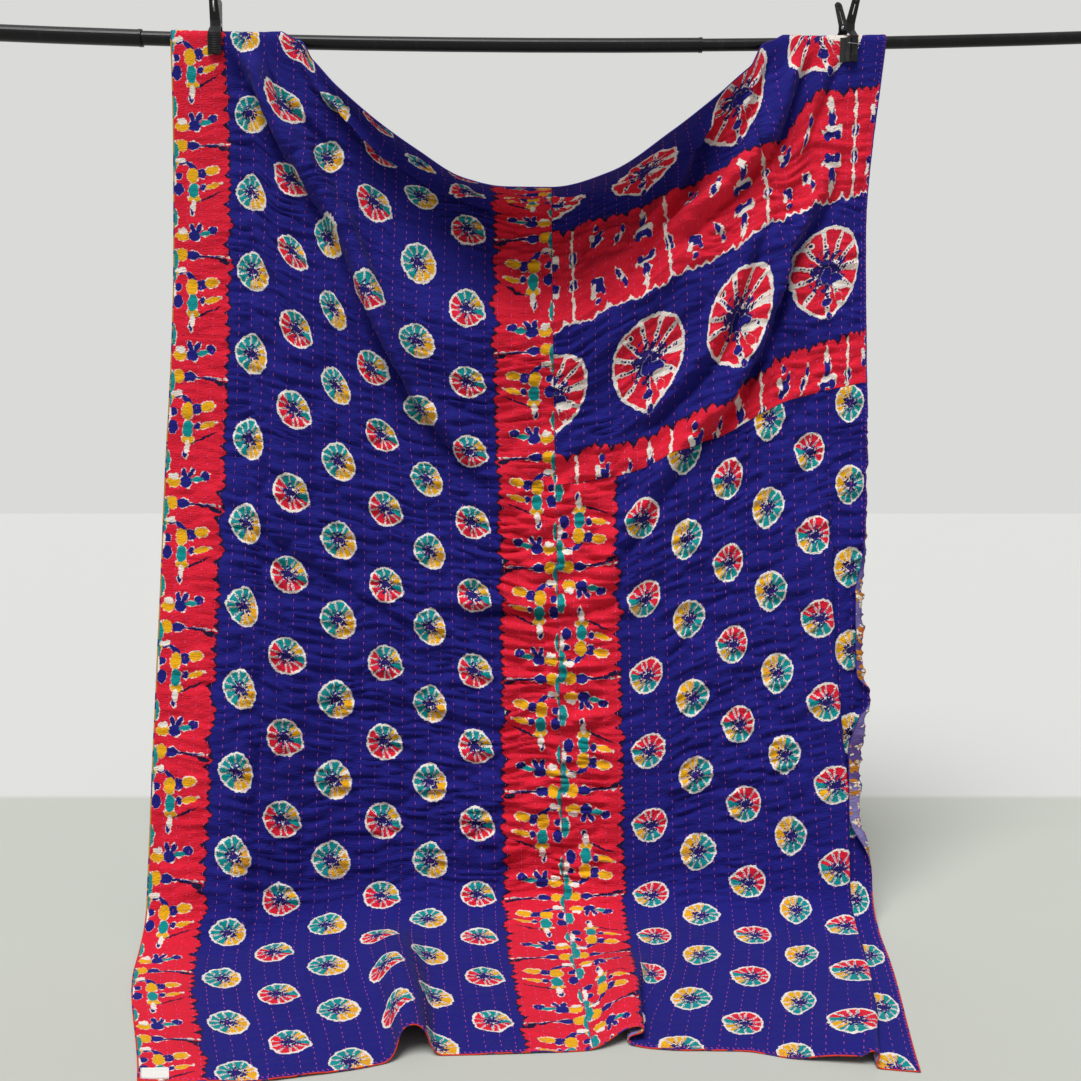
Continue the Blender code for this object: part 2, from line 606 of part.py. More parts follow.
def add_crossbar():
    """The three telescoping tubes, the outer two capped at their far ends."""
    black = material("black_powder_coat", (0.012, 0.012, 0.013), 0.45)
    left_bore = ROD_MIDDLE_RADIUS + TUBE_GAP
    middle_bore = ROD_RIGHT_RADIUS + TUBE_GAP
    left = [(x, ROD_LEFT_RADIUS) for x in stops(-ROD_HALF_LENGTH, ROD_LEFT_JOINT - ROD_LIP_LENGTH)]
    left += [(left[-1][0], ROD_LEFT_RADIUS + ROD_LIP), (ROD_LEFT_JOINT, ROD_LEFT_RADIUS + ROD_LIP)]
    left += [(x, left_bore) for x in stops(ROD_LEFT_JOINT, ROD_CAP - ROD_HALF_LENGTH)]
    bar_tube("crossbar_left", left, False, black)
    start = ROD_LEFT_JOINT - ROD_INSERT
    middle = [(x, ROD_MIDDLE_RADIUS) for x in stops(start, ROD_RIGHT_JOINT - ROD_LIP_LENGTH)]
    middle += [(middle[-1][0], ROD_MIDDLE_RADIUS + ROD_LIP), (ROD_RIGHT_JOINT, ROD_MIDDLE_RADIUS + ROD_LIP)]
    middle += [(x, middle_bore) for x in stops(ROD_RIGHT_JOINT, start)]
    bar_tube("crossbar_middle", middle, True, black)
    right_bore = ROD_RIGHT_RADIUS - ROD_WALL
    right = [(x, right_bore) for x in stops(ROD_HALF_LENGTH - ROD_CAP, ROD_RIGHT_JOINT - ROD_INSERT)]
    right += [(x, ROD_RIGHT_RADIUS) for x in stops(ROD_RIGHT_JOINT - ROD_INSERT, ROD_HALF_LENGTH)]
    bar_tube("crossbar_right", right, False, black)


def prism(name, outline, axis, start, end, finish, parent):
    """An outline drawn in the plane across `axis` ("x" or "z"), extruded along it."""
    points = []
    for place in (start, end):
        for first, second in outline:
            points.append((place, first, second) if axis == "x" else (first, second, place))
    count = len(outline)
    faces = [tuple(range(count))[::-1], tuple(range(count, 2 * count))]
    for i in range(count):
        j = (i + 1) % count
        faces.append((i, j, count + j, count + i))
    return add_object(name, points, faces, finish, parent)


def arc(centre, radius, start, end, steps=12):
    """Points round an arc, in degrees."""
    turns = [math.radians(start + (end - start) * i / steps) for i in range(steps + 1)]
    return [(centre[0] + radius * math.cos(t), centre[1] + radius * math.sin(t)) for t in turns]


def boolean(target, tool, operation):
    """Joins `tool` to `target` or cuts it away, and keeps the tool as a hidden helper."""
    modifier = target.modifiers.new(operation.lower(), "BOOLEAN")
    modifier.object = tool
    modifier.operation = operation
    modifier.solver = "EXACT"
    tool.hide_render = True
    tool.display_type = "WIRE"


def add_lever(name, side, clamp, spread, parent, finish):
    """One lever of a clamp: jaw, shoulder, pivot ears and handle.

    `side` is -1 for the front lever and 1 for the back one, and `spread` is how far the jaw's
    plate stands from the bar's axis.
    """
    _, _, _, reach, jaw_width, _, _ = clamp
    handle = Vector((HANDLE_TOP_DEPTH - PIVOT_DEPTH, HANDLE_TOP_HEIGHT - PIVOT_HEIGHT - EAR_RADIUS))
    run = handle.normalized()
    top = Vector((HANDLE_TOP_DEPTH, HANDLE_TOP_HEIGHT))
    line = [
        (Vector((spread, -reach)), jaw_width),
        (Vector((spread, SHOULDER_HEIGHT)), jaw_width),
        (Vector((PIVOT_DEPTH, PIVOT_HEIGHT - EAR_RADIUS)), LEVER_BODY_WIDTH),
        (Vector((PIVOT_DEPTH, PIVOT_HEIGHT + EAR_RADIUS)), LEVER_BODY_WIDTH),
    ]
    line += [(top - run * back, LEVER_HANDLE_WIDTH * share) for back, share in HANDLE_END]
    points = []
    for i, (place, width) in enumerate(line):
        before = (place - line[max(i - 1, 0)][0]).normalized() if i else None
        after = (line[i + 1][0] - place).normalized() if i + 1 < len(line) else None
        along = ((before or after) + (after or before)).normalized()
        outward = Vector((along.y, -along.x)) * LEVER_PLATE / 2
        outward /= along.dot(after or before)
        for x, edge in ((-1, 1), (1, 1), (1, -1), (-1, -1)):
            depth, height = place + outward * edge
            points.append((x * width / 2, side * depth, height))
    faces = [(0, 1, 2, 3), tuple(len(points) - 4 + i for i in (3, 2, 1, 0))]
    for ring in range(len(line) - 1):
        for i in range(4):
            j = (i + 1) % 4
            faces.append((ring * 4 + i, ring * 4 + 4 + i, ring * 4 + 4 + j, ring * 4 + j))
    if side < 0:
        faces = [face[::-1] for face in faces]
    lever = add_object(name, points, faces, finish, parent)
    ear_outer = LEVER_BODY_WIDTH / 2 - (0.0 if side < 0 else EAR_THICKNESS + EAR_GAP)
    pivot = (0.0, PIVOT_HEIGHT)
    for hand in (-1, 1):
        start = 90.0 if side > 0 else -90.0
        ear = arc(pivot, EAR_RADIUS, start, start + 180.0, 8)
        ear += [(side * PIVOT_DEPTH, ear[-1][1]), (side * PIVOT_DEPTH, ear[0][1])]
        low, high = sorted((hand * ear_outer, hand * (ear_outer - EAR_THICKNESS)))
        boolean(lever, prism(f"{name}_ear_{hand}", ear, "x", low, high, finish, parent), "UNION")
    bore = arc(pivot, PIN_RADIUS + PIN_GAP, 0.0, 337.5, 15)
    reach_x = LEVER_BODY_WIDTH
    boolean(lever, prism(f"{name}_bore", bore, "x", -reach_x, reach_x, finish, parent), "DIFFERENCE")
    hole = arc((0.0, 0.0), HANDLE_HOLE_RADIUS, 0.0, 330.0, 11)
    half_slot = (SLOT_FROM_END[1] - SLOT_FROM_END[0]) / 2 - SLOT_HALF_WIDTH
    slot = arc((0.0, half_slot), SLOT_HALF_WIDTH, 0.0, 180.0, 6)
    slot += arc((0.0, -half_slot), SLOT_HALF_WIDTH, 180.0, 360.0, 6)
    for label, outline, back in (
        ("hole", hole, HANDLE_HOLE_FROM_END),
        ("slot", slot, sum(SLOT_FROM_END) / 2),
    ):
        cutter = prism(f"{name}_{label}", outline, "z", -2 * LEVER_PLATE, 2 * LEVER_PLATE, finish, parent)
        depth, height = top - run * back
        cutter.location = (0.0, side * depth, height)
        cutter.rotation_euler = (side * -math.atan2(run.x, run.y) + math.pi / 2, 0.0, 0.0)
        boolean(lever, cutter, "DIFFERENCE")


def ring_solid(name, outer, inner, half_length, parent, finish):
    """A short tube round the clamp's pivot."""
    sides = 16
    points = []
    rims = ((-half_length, outer), (half_length, outer), (half_length, inner), (-half_length, inner))
    for x, radius in rims:
        points += [(x, y, z) for y, z in arc((0.0, PIVOT_HEIGHT), radius, 0.0, 337.5, sides - 1)]
    faces = []
    for ring in range(4):
        for side in range(sides):
            beside = (side + 1) % sides
            start, following = ring * sides, (ring + 1) % 4 * sides
            faces.append((start + side, start + beside, following + beside, following + side))
    return add_object(name, points, faces, finish, parent)


def add_clamp(clamp, plastic, steel, rubber):
    """A spring clamp on the bar: two levers on a pin, their spring and two jaw pads."""
    name, x, turn, reach, _, pad_width, knuckle_radius = clamp
    level = bar_height(x) - ROD_HEIGHT
    body = bpy.data.objects.new(f"{name}_body", None)
    body.location = (x, 0.0, level)
    body.rotation_euler = (0.0, 0.0, math.radians(turn))
    bpy.context.collection.objects.link(body)
    grip = float(wrap_radius(x)) + CLOTH_GAP / 2 + CLOTH_THICKNESS + PAD_GRIP_GAP
    spread = (grip + PAD_THICKNESS) * math.cos(math.radians(turn))
    spread += knuckle_radius + LEVER_GAP + LEVER_PLATE / 2
    for part, side in (("front", -1), ("back", 1)):
        add_lever(f"{name}_{part}", side, clamp, spread, body, plastic)
        face, back = side * grip, side * (grip + PAD_THICKNESS)
        knuckle = arc((0.0, back), knuckle_radius, 0.0, side * 180.0)
        half = pad_width / 2
        outline = [(-half, back), (-half, face), (half, face), (half, back)]
        outline += knuckle
        if side < 0:
            outline = outline[::-1]
        pad = prism(f"{name}_pad_{part}", outline, "z", -reach, PAD_TOP, rubber, None)
        pad.location = (x, 0.0, level)
    pin = arc((0.0, PIVOT_HEIGHT), PIN_RADIUS, 0.0, 337.5, 15)
    proud = LEVER_BODY_WIDTH / 2 + PIN_PROUD
    prism(f"{name}_pin", pin, "x", -proud, proud, steel, body)
    ring_solid(f"{name}_spring", SPRING_RADIUS, PIN_RADIUS + PIN_GAP, SPRING_HALF_LENGTH, body, steel)


def main():
    """Clears the scene and builds the quilt, the crossbar and its two clamps."""
    for old in list(bpy.data.objects):
        bpy.data.objects.remove(old)
    add_quilt()
    add_crossbar()
    plastic = material("black_nylon", (0.010, 0.010, 0.011), 0.50)
    steel = material("bright_steel", (0.550, 0.550, 0.560), 0.35, 1.0)
    rubber = material("black_rubber", (0.014, 0.014, 0.014), 0.80)
    for clamp in CLAMPS:
        add_clamp(clamp, plastic, steel, rubber)


main()
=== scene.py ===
"""The looks of a kantha quilt that hangs over a telescopic crossbar and out along the floor.

The quilt is printed cotton on both sides, sewn through all over with lines of pink running stitch.
Every point of it is worked out from its flat place, as in the part's own source, and then given the
folds, puckers and stitch dimples that washed, hand-sewn cotton has.

Metres, +Z up.  The origin is on the crossbar's axis at the middle of its length, +X is to the right
of someone who faces the quilt, and the printed front faces -Y.
"""

import logging
import math
from dataclasses import dataclass, field
from enum import Enum
from typing import Any, Callable, Iterable, Sequence

import bpy
import numpy as np
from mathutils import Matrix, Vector


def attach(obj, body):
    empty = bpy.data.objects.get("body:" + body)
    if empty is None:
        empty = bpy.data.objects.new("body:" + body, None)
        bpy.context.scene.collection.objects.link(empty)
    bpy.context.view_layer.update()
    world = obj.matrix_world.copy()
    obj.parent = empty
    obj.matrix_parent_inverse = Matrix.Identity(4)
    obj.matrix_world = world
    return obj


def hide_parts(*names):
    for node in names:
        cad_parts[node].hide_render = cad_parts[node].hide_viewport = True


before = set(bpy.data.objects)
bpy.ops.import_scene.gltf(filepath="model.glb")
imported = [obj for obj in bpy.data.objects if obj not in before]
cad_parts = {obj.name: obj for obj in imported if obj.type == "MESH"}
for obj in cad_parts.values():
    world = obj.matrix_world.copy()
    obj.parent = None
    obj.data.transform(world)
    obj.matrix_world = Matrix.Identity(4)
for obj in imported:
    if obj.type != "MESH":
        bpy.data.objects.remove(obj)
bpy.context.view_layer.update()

log = logging.getLogger("quilt")
Array = np.ndarray
Socket = bpy.types.NodeSocket

MM = 0.001

# --- Quilt, flat -------------------------------------------------------------------------------
QUILT_WIDTH = 1.500
QUILT_LENGTH = 2.355
HEM_SLANT = 0.106  # how much shorter the quilt is along its right edge, cut off the top hem
CENTRE_SEAM = 0.806  # across, between the left panel and the two right-hand panels
# down, between the end panel and the right panel, as (across, down)
CROSS_SEAM = ((0.806, 0.885), (0.920, 0.895), (1.020, 0.905), (1.150, 0.913), (1.265, 0.897), (1.385, 0.882),
              (1.500, 0.878))
CLOTH_THICKNESS = 0.0012
CLOTH_GAP = 0.0003  # between the front cloth and the back cloth

# --- Crossbar ----------------------------------------------------------------------------------
ROD_MIDDLE_RADIUS = 0.01325
ROD_RIGHT_RADIUS = 0.0116
ROD_RIGHT_JOINT = 0.305
ROD_LOW_POINT = 0.120  # across the bar, where it sags lowest
ROD_BEND = 0.0175  # rise for each square metre away from the low point
ROD_HEIGHT = 1.651  # of the bar's axis above the floor, at the origin

LABEL_ACROSS = (0.004, 0.054)
LABEL_ALONG = (2.318, 2.350)

# --- How the quilt hangs -----------------------------------------------------------------------
# One row for each line down the quilt.  `across` is the line's flat place; the other columns are
# where it runs: x and y in plan, z as height above the floor.  `top` is where the line leaves the
# bar or, in the swag, the hem; `shelf` is SHELF_DROP below that along the cloth; `high` and `mid`
# are at HIGH_DOWN and MID_DOWN; `foot` is where it would meet the floor; `hem` is its lower end.
STATION_COLUMNS = (
    "across", "top_x", "top_y", "top_z", "shelf_z", "high_x", "high_z",
    "mid_x", "mid_z", "foot_x", "foot_y", "foot_down", "hem_x", "hem_y",
)
STATIONS = (
    (0, -0.693, -0.015, 1.661, 1.501, -0.692, 1.235, -0.708, 0.77, -0.722, -0.29, 1.87, -0.594, -0.755),
    (0.085, -0.611, -0.015, 1.657, 1.499, -0.612, 1.23, -0.628, 0.765, -0.648, -0.28, 1.86, -0.521, -0.755),
    (0.164, -0.54, -0.015, 1.655, 1.497, -0.543, 1.227, -0.553, 0.756, -0.571, -0.27, 1.85, -0.447, -0.755),
    (0.215, -0.494, -0.016, 1.653, 1.5, -0.5, 1.21, -0.517, 0.745, -0.53, -0.24, 1.835, -0.402, -0.752),
    (0.25, -0.455, -0.02, 1.64, 1.513, -0.467, 1.195, -0.484, 0.737, -0.5, -0.22, 1.825, -0.372, -0.745),
    (0.354, -0.378, -0.045, 1.566, 1.505, -0.386, 1.162, -0.386, 0.72, -0.404, -0.165, 1.805, -0.284, -0.722),
    (0.449, -0.3, -0.08, 1.497, 1.445, -0.311, 1.128, -0.298, 0.706, -0.308, -0.135, 1.795, -0.215, -0.69),
    (0.544, -0.223, -0.11, 1.44, 1.402, -0.233, 1.1, -0.214, 0.696, -0.216, -0.12, 1.79, -0.158, -0.68),
    (0.639, -0.14, -0.135, 1.388, 1.378, -0.14, 1.086, -0.132, 0.682, -0.122, -0.12, 1.79, -0.067, -0.676),
    (0.72, -0.064, -0.145, 1.371, 1.358, -0.064, 1.084, -0.052, 0.674, -0.045, -0.118, 1.79, 0.002, -0.672),
    (0.806, 0.02, -0.145, 1.37, 1.355, 0.024, 1.092, 0.032, 0.672, 0.046, -0.115, 1.79, 0.081, -0.664),
    (0.925, 0.125, -0.135, 1.398, 1.378, 0.134, 1.15, 0.149, 0.68, 0.163, -0.115, 1.795, 0.16, -0.64),
    (1.073, 0.24, -0.1, 1.476, 1.43, 0.27, 1.226, 0.279, 0.737, 0.306, -0.125, 1.828, 0.214, -0.665),
    (1.168, 0.32, -0.07, 1.54, 1.47, 0.36, 1.262, 0.358, 0.771, 0.401, -0.15, 1.85, 0.307, -0.667),
    (1.263, 0.403, -0.035, 1.612, 1.5, 0.444, 1.296, 0.431, 0.8, 0.484, -0.17, 1.872, 0.388, -0.69),
    (1.323, 0.47, -0.014, 1.652, 1.5, 0.484, 1.302, 0.484, 0.818, 0.532, -0.182, 1.888, 0.433, -0.7),
    (1.453, 0.603, -0.014, 1.654, 1.494, 0.592, 1.304, 0.587, 0.844, 0.595, -0.195, 1.912, 0.533, -0.722),
    (1.5, 0.648, -0.014, 1.655, 1.495, 0.617, 1.303, 0.624, 0.852, 0.63, -0.195, 1.915, 0.568, -0.728),
)
SHELF_DROP = 0.170
HIGH_DOWN = 0.575
MID_DOWN = 1.055
FOOT_BEND = 0.085  # half the length of cloth in the turn from hanging to lying
LYING_HEIGHT = 0.002  # of the quilt's middle above the floor
STRAIGHT_DROP = 0.055  # how far the quilt hangs upright below the clamps before it leans forward
LEAN_POWER = 1.4
SWAG_LINE = -0.020  # y from which the swag's lines lean, behind its forward lip
SLANT_RUN = (0.250, 1.300)  # across, where the top hem is cut on the slant

# Past the hem of the swag, how much of its lip's forward reach is left: (past, share).
COWL = (
    (0.0, 1.0), (0.07, 0.36), (0.14, -0.05), (0.26, -0.35), (0.40, -0.05), (0.50, 0.20), (0.70, 0.0),
    (2.40, 0.0),
)

# Where the top hem lies over the bar: `flap` is how far it hangs behind the bar's top.
FLAP = 0.070
WRAP_CLEARANCE = 0.00085  # between the bar and the back cloth
LEFT_LEAVES_BAR = (0.155, 0.250)
RIGHT_LEAVES_BAR = (1.285, 1.375)
LIFTS_OFF = 0.035  # across, in which the swag's hem lifts off the front of the bar
CROSSING_LIFT = 0.0035  # off the bar, where the hem crosses it
CLAMP_HOLD = (0.045, 0.120)  # past the bar, where the folds start

# Pleats that run down the quilt: across from, across to, then how far the cloth turns back under
# itself and how far it stands up as a tent, as tables of (along, degrees).
NO_TURN = ((0.0, 0.0), (2.0, 0.0), (2.355, 0.0))
LEFT_TENT = (0.400, 0.555, NO_TURN, ((0.0, 0.0), (1.85, 0.0), (2.05, 45.0), (2.355, 76.0)))
BAND_TUCK = (
    0.905, 1.005, ((0.0, 0.0), (1.98, 0.0), (2.12, 70.0), (2.25, 140.0), (2.355, 168.0)), NO_TURN,
)
EDGE_TUCK = (
    1.369, 1.434,
    ((0.0, 0.0), (0.95, 0.0), (1.07, 65.0), (1.23, 95.0), (1.39, 110.0), (1.55, 150.0),
     (1.65, 168.0), (2.20, 168.0), (2.355, 70.0)),
    ((0.0, 0.0), (2.17, 0.0), (2.355, 70.0)),
)
PLEATS = (LEFT_TENT, BAND_TUCK, EDGE_TUCK)
PLEAT_RUN_UP = 0.120
TUCK_FLATNESS = 0.50  # how much of a tuck's full depth is left after it is pressed down
EDGE_CURL = (
    (0.0, 0.0), (0.80, 0.0), (0.93, 0.014), (1.10, 0.016), (1.17, 0.020), (1.24, 0.028), (1.40, 0.028),
    (1.445, 0.012), (1.49, 0.026), (1.55, 0.036), (1.68, 0.036), (1.76, 0.018), (1.86, 0.0), (2.355, 0.0),
)
CURL_LENGTH = 0.026  # of cloth, in which the curl turns by CURL_TURN degrees
CURL_TURN = 168.0
FINE_STEPS = 1501
NORMAL_STEP = 0.0005

# Soft folds that hang from the clamps, as (across, down, forward) along each.
FOLDS = (
    ((0.15, 0.10, 0.010), (0.31, 0.36, 0.014), (0.42, 0.53, 0.014), (0.53, 0.68, 0.012), (0.66, 0.82, 0.0)),
    ((0.81, 0.67, 0.0), (0.93, 0.61, 0.012), (1.08, 0.52, 0.014), (1.19, 0.36, 0.014), (1.33, 0.17, 0.008)),
    ((1.37, 0.20, 0.006), (1.30, 0.43, 0.010), (1.20, 0.69, 0.012), (1.10, 0.90, 0.012), (0.99, 1.05, 0.010),
     (0.77, 1.28, 0.0)),
)
FOLD_REACH = 0.090
FOLDS_END = (0.25, 0.05)  # above the foot, where they start to fade and are gone


# --- Smooth curves -----------------------------------------------------------------------------
def ease(t: Array) -> Array:
    """A smooth step from 0 to 1 as t goes from 0 to 1."""
    t = np.clip(t, 0.0, 1.0)
    return t * t * (3.0 - 2.0 * t)


def between(low: float, high: float, x: Array) -> Array:
    """A smooth step from 0 to 1 as x goes from low to high."""
    return ease((x - low) / (high - low))


def through(knots: Array, values: Array, x: Array) -> Array:
    """Smooth curves that never overshoot and that go on straight past their ends.

    Args:
        knots: Where each curve is given, along the first axis.  The other axes match `x`, or are
            missing where one curve serves for all of it.
        values: What each curve is at its knots.
        x: Where the curves are read.

    Returns:
        The curves' values at x.
    """
    x = np.asarray(x, dtype=float)
    knots = np.asarray(knots, dtype=float)
    values = np.asarray(values, dtype=float)
    if knots.ndim == 1:
        knots = knots.reshape(-1, *[1] * x.ndim)
    if values.ndim == 1:
        values = values.reshape(-1, *[1] * x.ndim)
    gaps = np.diff(knots, axis=0)
    slopes = np.diff(values, axis=0) / gaps
    before, after = slopes[:-1], slopes[1:]
    same_way = before * after > 0.0
    total = np.where(same_way, before + after, 1.0)
    inner = np.where(same_way, 2.0 * before * after / total, 0.0)
    tangents = np.concatenate([slopes[:1], inner, slopes[-1:]])
    result = values[0] + tangents[0] * (x - knots[0])
    for i in range(len(gaps)):
        t = (x - knots[i]) / gaps[i]
        curve = (
            values[i] * (1.0 + 2.0 * t) * (1.0 - t) ** 2
            + tangents[i] * gaps[i] * t * (1.0 - t) ** 2
            + values[i + 1] * t * t * (3.0 - 2.0 * t)
            + tangents[i + 1] * gaps[i] * t * t * (t - 1.0)
        )
        result = np.where(x >= knots[i], curve, result)
    straight_on = values[-1] + tangents[-1] * (x - knots[-1])
    return np.where(x > knots[-1], straight_on, result)


# --- The crossbar's line -----------------------------------------------------------------------
def bar_height(x: Array) -> Array:
    """Height of the bar's axis above the floor."""
    return ROD_HEIGHT + ROD_BEND * ((x - ROD_LOW_POINT) ** 2 - ROD_LOW_POINT ** 2)


def wrap_radius(x: Array) -> Array:
    """Radius at which the quilt's middle goes round the bar."""
    bar = np.where(x < ROD_RIGHT_JOINT, ROD_MIDDLE_RADIUS, ROD_RIGHT_RADIUS)
    return bar + WRAP_CLEARANCE + CLOTH_GAP / 2 + CLOTH_THICKNESS


# --- The quilt's surface -----------------------------------------------------------------------
def station(name: str) -> Array:
    """The named column of the station table."""
    return np.array([row[STATION_COLUMNS.index(name)] for row in STATIONS])


def top_hem(across: Array) -> Array:
    """How far down the flat quilt its slanting top hem lies."""
    return HEM_SLANT * between(*SLANT_RUN, across)


def cross_seam(across: Array) -> Array:
    """How far down the flat quilt the cross seam lies."""
    return np.interp(across, *zip(*CROSS_SEAM))


def down_of(across: Array, along: Array) -> Array:
    """Flat distance down at `along`, which goes from 0 at the top hem to QUILT_LENGTH."""
    return top_hem(across) + along * (1.0 - top_hem(across) / QUILT_LENGTH)


def along_of(across: Array, down: Array) -> Array:
    """The `along` that gives this flat distance down."""
    return (down - top_hem(across)) / (1.0 - top_hem(across) / QUILT_LENGTH)


def over_bar(across: Array) -> Array:
    """1 where the top hem hangs behind the bar, 0 along the swag, and between as it crosses."""
    return 1.0 - between(*LEFT_LEAVES_BAR, across) + between(*RIGHT_LEAVES_BAR, across)


def on_bar(across: Array) -> Array:
    """1 where the quilt touches the bar, 0 along the swag."""
    lifted = between(LEFT_LEAVES_BAR[1], LEFT_LEAVES_BAR[1] + LIFTS_OFF, across)
    return 1.0 - lifted + between(RIGHT_LEAVES_BAR[0] - LIFTS_OFF, RIGHT_LEAVES_BAR[0], across)


def headings(flat: Array, along: Array) -> Array:
    """Which way the cloth heads across the quilt.

    Each pleat turns it back under itself and forward again, and each tent turns it up and down.

    Args:
        flat: Flat places across.
        along: How far along each is.

    Returns:
        Angles from straight across, positive up from the surface.
    """
    heading = np.zeros_like(flat)
    for start, end, tuck, tent in PLEATS:
        t = np.clip((flat - start) / (end - start), 0.0, 1.0)
        heading -= np.radians(through(*zip(*tuck), along)) * np.sin(math.pi * t) ** 2
        heading += np.radians(through(*zip(*tent), along)) * np.sin(2.0 * math.pi * t)
    return heading


def pressed(flat: Array, along: Array) -> Array:
    """How far the pleats are pressed down.

    Args:
        flat: Flat places across.
        along: How far along each is.

    Returns:
        The share of its depth that each place keeps: less in a tuck, and all of it in a tent.
    """
    kept = np.ones_like(flat)
    for start, end, tuck, tent in PLEATS:
        tucked = through(*zip(*tuck), along)
        share = tucked / np.maximum(tucked + through(*zip(*tent), along), 1.0)
        kept = np.where((flat > start) & (flat < end), 1.0 - (1.0 - TUCK_FLATNESS) * share, kept)
    return kept


def running_total(rate: Array, flat: Array) -> Array:
    """The integral of `rate` over `flat`, from 0."""
    steps = np.diff(flat) * (rate[1:] + rate[:-1]) / 2.0
    return np.concatenate([[0.0], np.cumsum(steps)])


def pleated(along_at: Callable[[Array], Array]) -> tuple[Array, Array, Array, Array]:
    """What the pleats and the curled edge do to one row of the quilt.

    Args:
        along_at: Gives the row's `along` at any flat places across.

    Returns:
        Fine flat places across and, at each, the width taken up to there, what the curled edge
        adds to it, and the rise.
    """
    flat = np.linspace(0.0, QUILT_WIDTH, FINE_STEPS)
    along = along_at(flat)
    heading = headings(flat, along)
    climb = np.sin(heading)
    climb = np.where(climb < 0.0, climb * pressed(flat, along), climb)
    rise = running_total(climb, flat)
    for start, end, _, _ in PLEATS:
        inside = (flat >= start) & (flat <= end)
        drop = -running_total(np.where(inside, climb, 0.0), flat)[-1]
        rise += drop * between(start - PLEAT_RUN_UP, start, flat)
    curl_width, curl_rise = curl(flat, along)
    return flat, running_total(np.cos(heading), flat), curl_width, rise + curl_rise


def curl(flat: Array, along: Array) -> tuple[Array, Array]:
    """How the right edge curls forward and lies back over the front.

    Args:
        flat: Flat places across.
        along: How far along each is.

    Returns:
        Change of width, and rise.
    """
    reach = np.maximum(through(*zip(*EDGE_CURL), along), 0.0)
    turned = math.radians(CURL_TURN) * ease((flat - (QUILT_WIDTH - reach)) / CURL_LENGTH)
    return running_total(np.cos(turned) - 1.0, flat), running_total(np.sin(turned), flat)


def row_x(across: Array, along_at: Callable, width_at: Callable) -> Array:
    """Where one row's places lie across the room, before its edge curls.

    Args:
        across: Flat places across.
        along_at: Gives the row's `along` at any flat places across.
        width_at: Gives the width that the row takes up to them.

    Returns:
        x of each place, drawn through the stations.
    """
    flat = station("across")
    leaves = leaves_bar_at(flat, station("top_x"))
    level = np.ones_like(flat)
    foot = station("foot_down")
    knots = np.array([leaves, HIGH_DOWN * level, MID_DOWN * level, foot, QUILT_LENGTH * level])
    levels = np.array([station(f"{level}_x") for level in ("top", "high", "mid", "foot", "hem")])
    down = np.maximum(down_of(flat, along_at(flat)), leaves)
    return through(width_at(flat), through(knots, levels, down), width_at(across))


def leaves_bar_at(across: Array, x: Array) -> Array:
    """How far down each line leaves the front of the bar, or starts as the hem of the swag."""
    quarter = wrap_radius(x) * math.pi / 2
    return top_hem(across) + (FLAP + quarter) * over_bar(across)


def profile(lines: dict[str, Array], x: Array, past: Array) -> tuple[Array, Array]:
    """The side view of each line down the quilt.

    Args:
        lines: The station table read at each line, and how far the line is held by the bar.
        x: Where each line is across the room.
        past: Metres of cloth beyond the place where the line leaves the bar.

    Returns:
        y, and height above the floor.
    """
    held = lines["held"]
    radius = wrap_radius(x) + CROSSING_LIFT * lines["crossing"]
    top_y = lines["top_y"] * (1.0 - held) - radius * held
    top_z = lines["top_z"] * (1.0 - held) + bar_height(x) * held
    leaves = lines["leaves"]
    foot = lines["foot_down"] - leaves
    turn = np.clip((past - foot) / FOOT_BEND, -1.0, 1.0)
    lying = np.where(turn < 1.0, FOOT_BEND * (turn + 1.0) ** 2 / 4.0, past - foot)
    hanging = past - lying
    level = np.ones_like(foot)
    knots = np.array([0.0 * level, SHELF_DROP * level, HIGH_DOWN - leaves, MID_DOWN - leaves, foot])
    heights = np.array([top_z, lines["shelf_z"], lines["high_z"], lines["mid_z"], LYING_HEIGHT * level])
    z = through(knots, heights, hanging)
    lean = np.clip((hanging - STRAIGHT_DROP) / (foot - STRAIGHT_DROP), 0.0, 1.0) ** LEAN_POWER
    lip = (top_y - SWAG_LINE) * (1.0 - held)
    start_y = top_y - lip
    floor_run = (lines["hem_y"] - lines["foot_y"]) / (QUILT_LENGTH - lines["foot_down"])
    y = start_y + (lines["foot_y"] - start_y) * lean + lip * through(*zip(*COWL), hanging)
    y = y + lying * floor_run
    angle = np.clip(past / radius, -math.pi, 0.0)
    behind = np.minimum(past + math.pi * radius, 0.0)
    round_bar = (past < 0.0) & (lines["over"] > 0.0)
    y = np.where(round_bar, -radius * np.cos(angle), y)
    z = np.where(round_bar, bar_height(x) - radius * np.sin(angle) + behind, z)
    return y, z


def folds_forward(across: Array, down: Array) -> Array:
    """How far the soft folds bring the hanging cloth forward.

    Args:
        across: Metres from the quilt's left edge.
        down: Metres from its top hem.

    Returns:
        Metres.
    """
    forward = np.zeros_like(across)
    for fold in FOLDS:
        places, height = np.array(fold)[:, :2], np.array(fold)[:, 2]
        nearest = np.full_like(across, FOLD_REACH)
        swell = np.zeros_like(across)
        for i in range(len(places) - 1):
            run = places[i + 1] - places[i]
            t = ((across - places[i, 0]) * run[0] + (down - places[i, 1]) * run[1]) / (run @ run)
            t = np.clip(t, 0.0, 1.0)
            far = np.hypot(across - places[i, 0] - t * run[0], down - places[i, 1] - t * run[1])
            closer = far < nearest
            nearest = np.where(closer, far, nearest)
            swell = np.where(closer, height[i] + t * (height[i + 1] - height[i]), swell)
        forward += swell * np.cos(nearest / FOLD_REACH * math.pi / 2) ** 2
    return forward


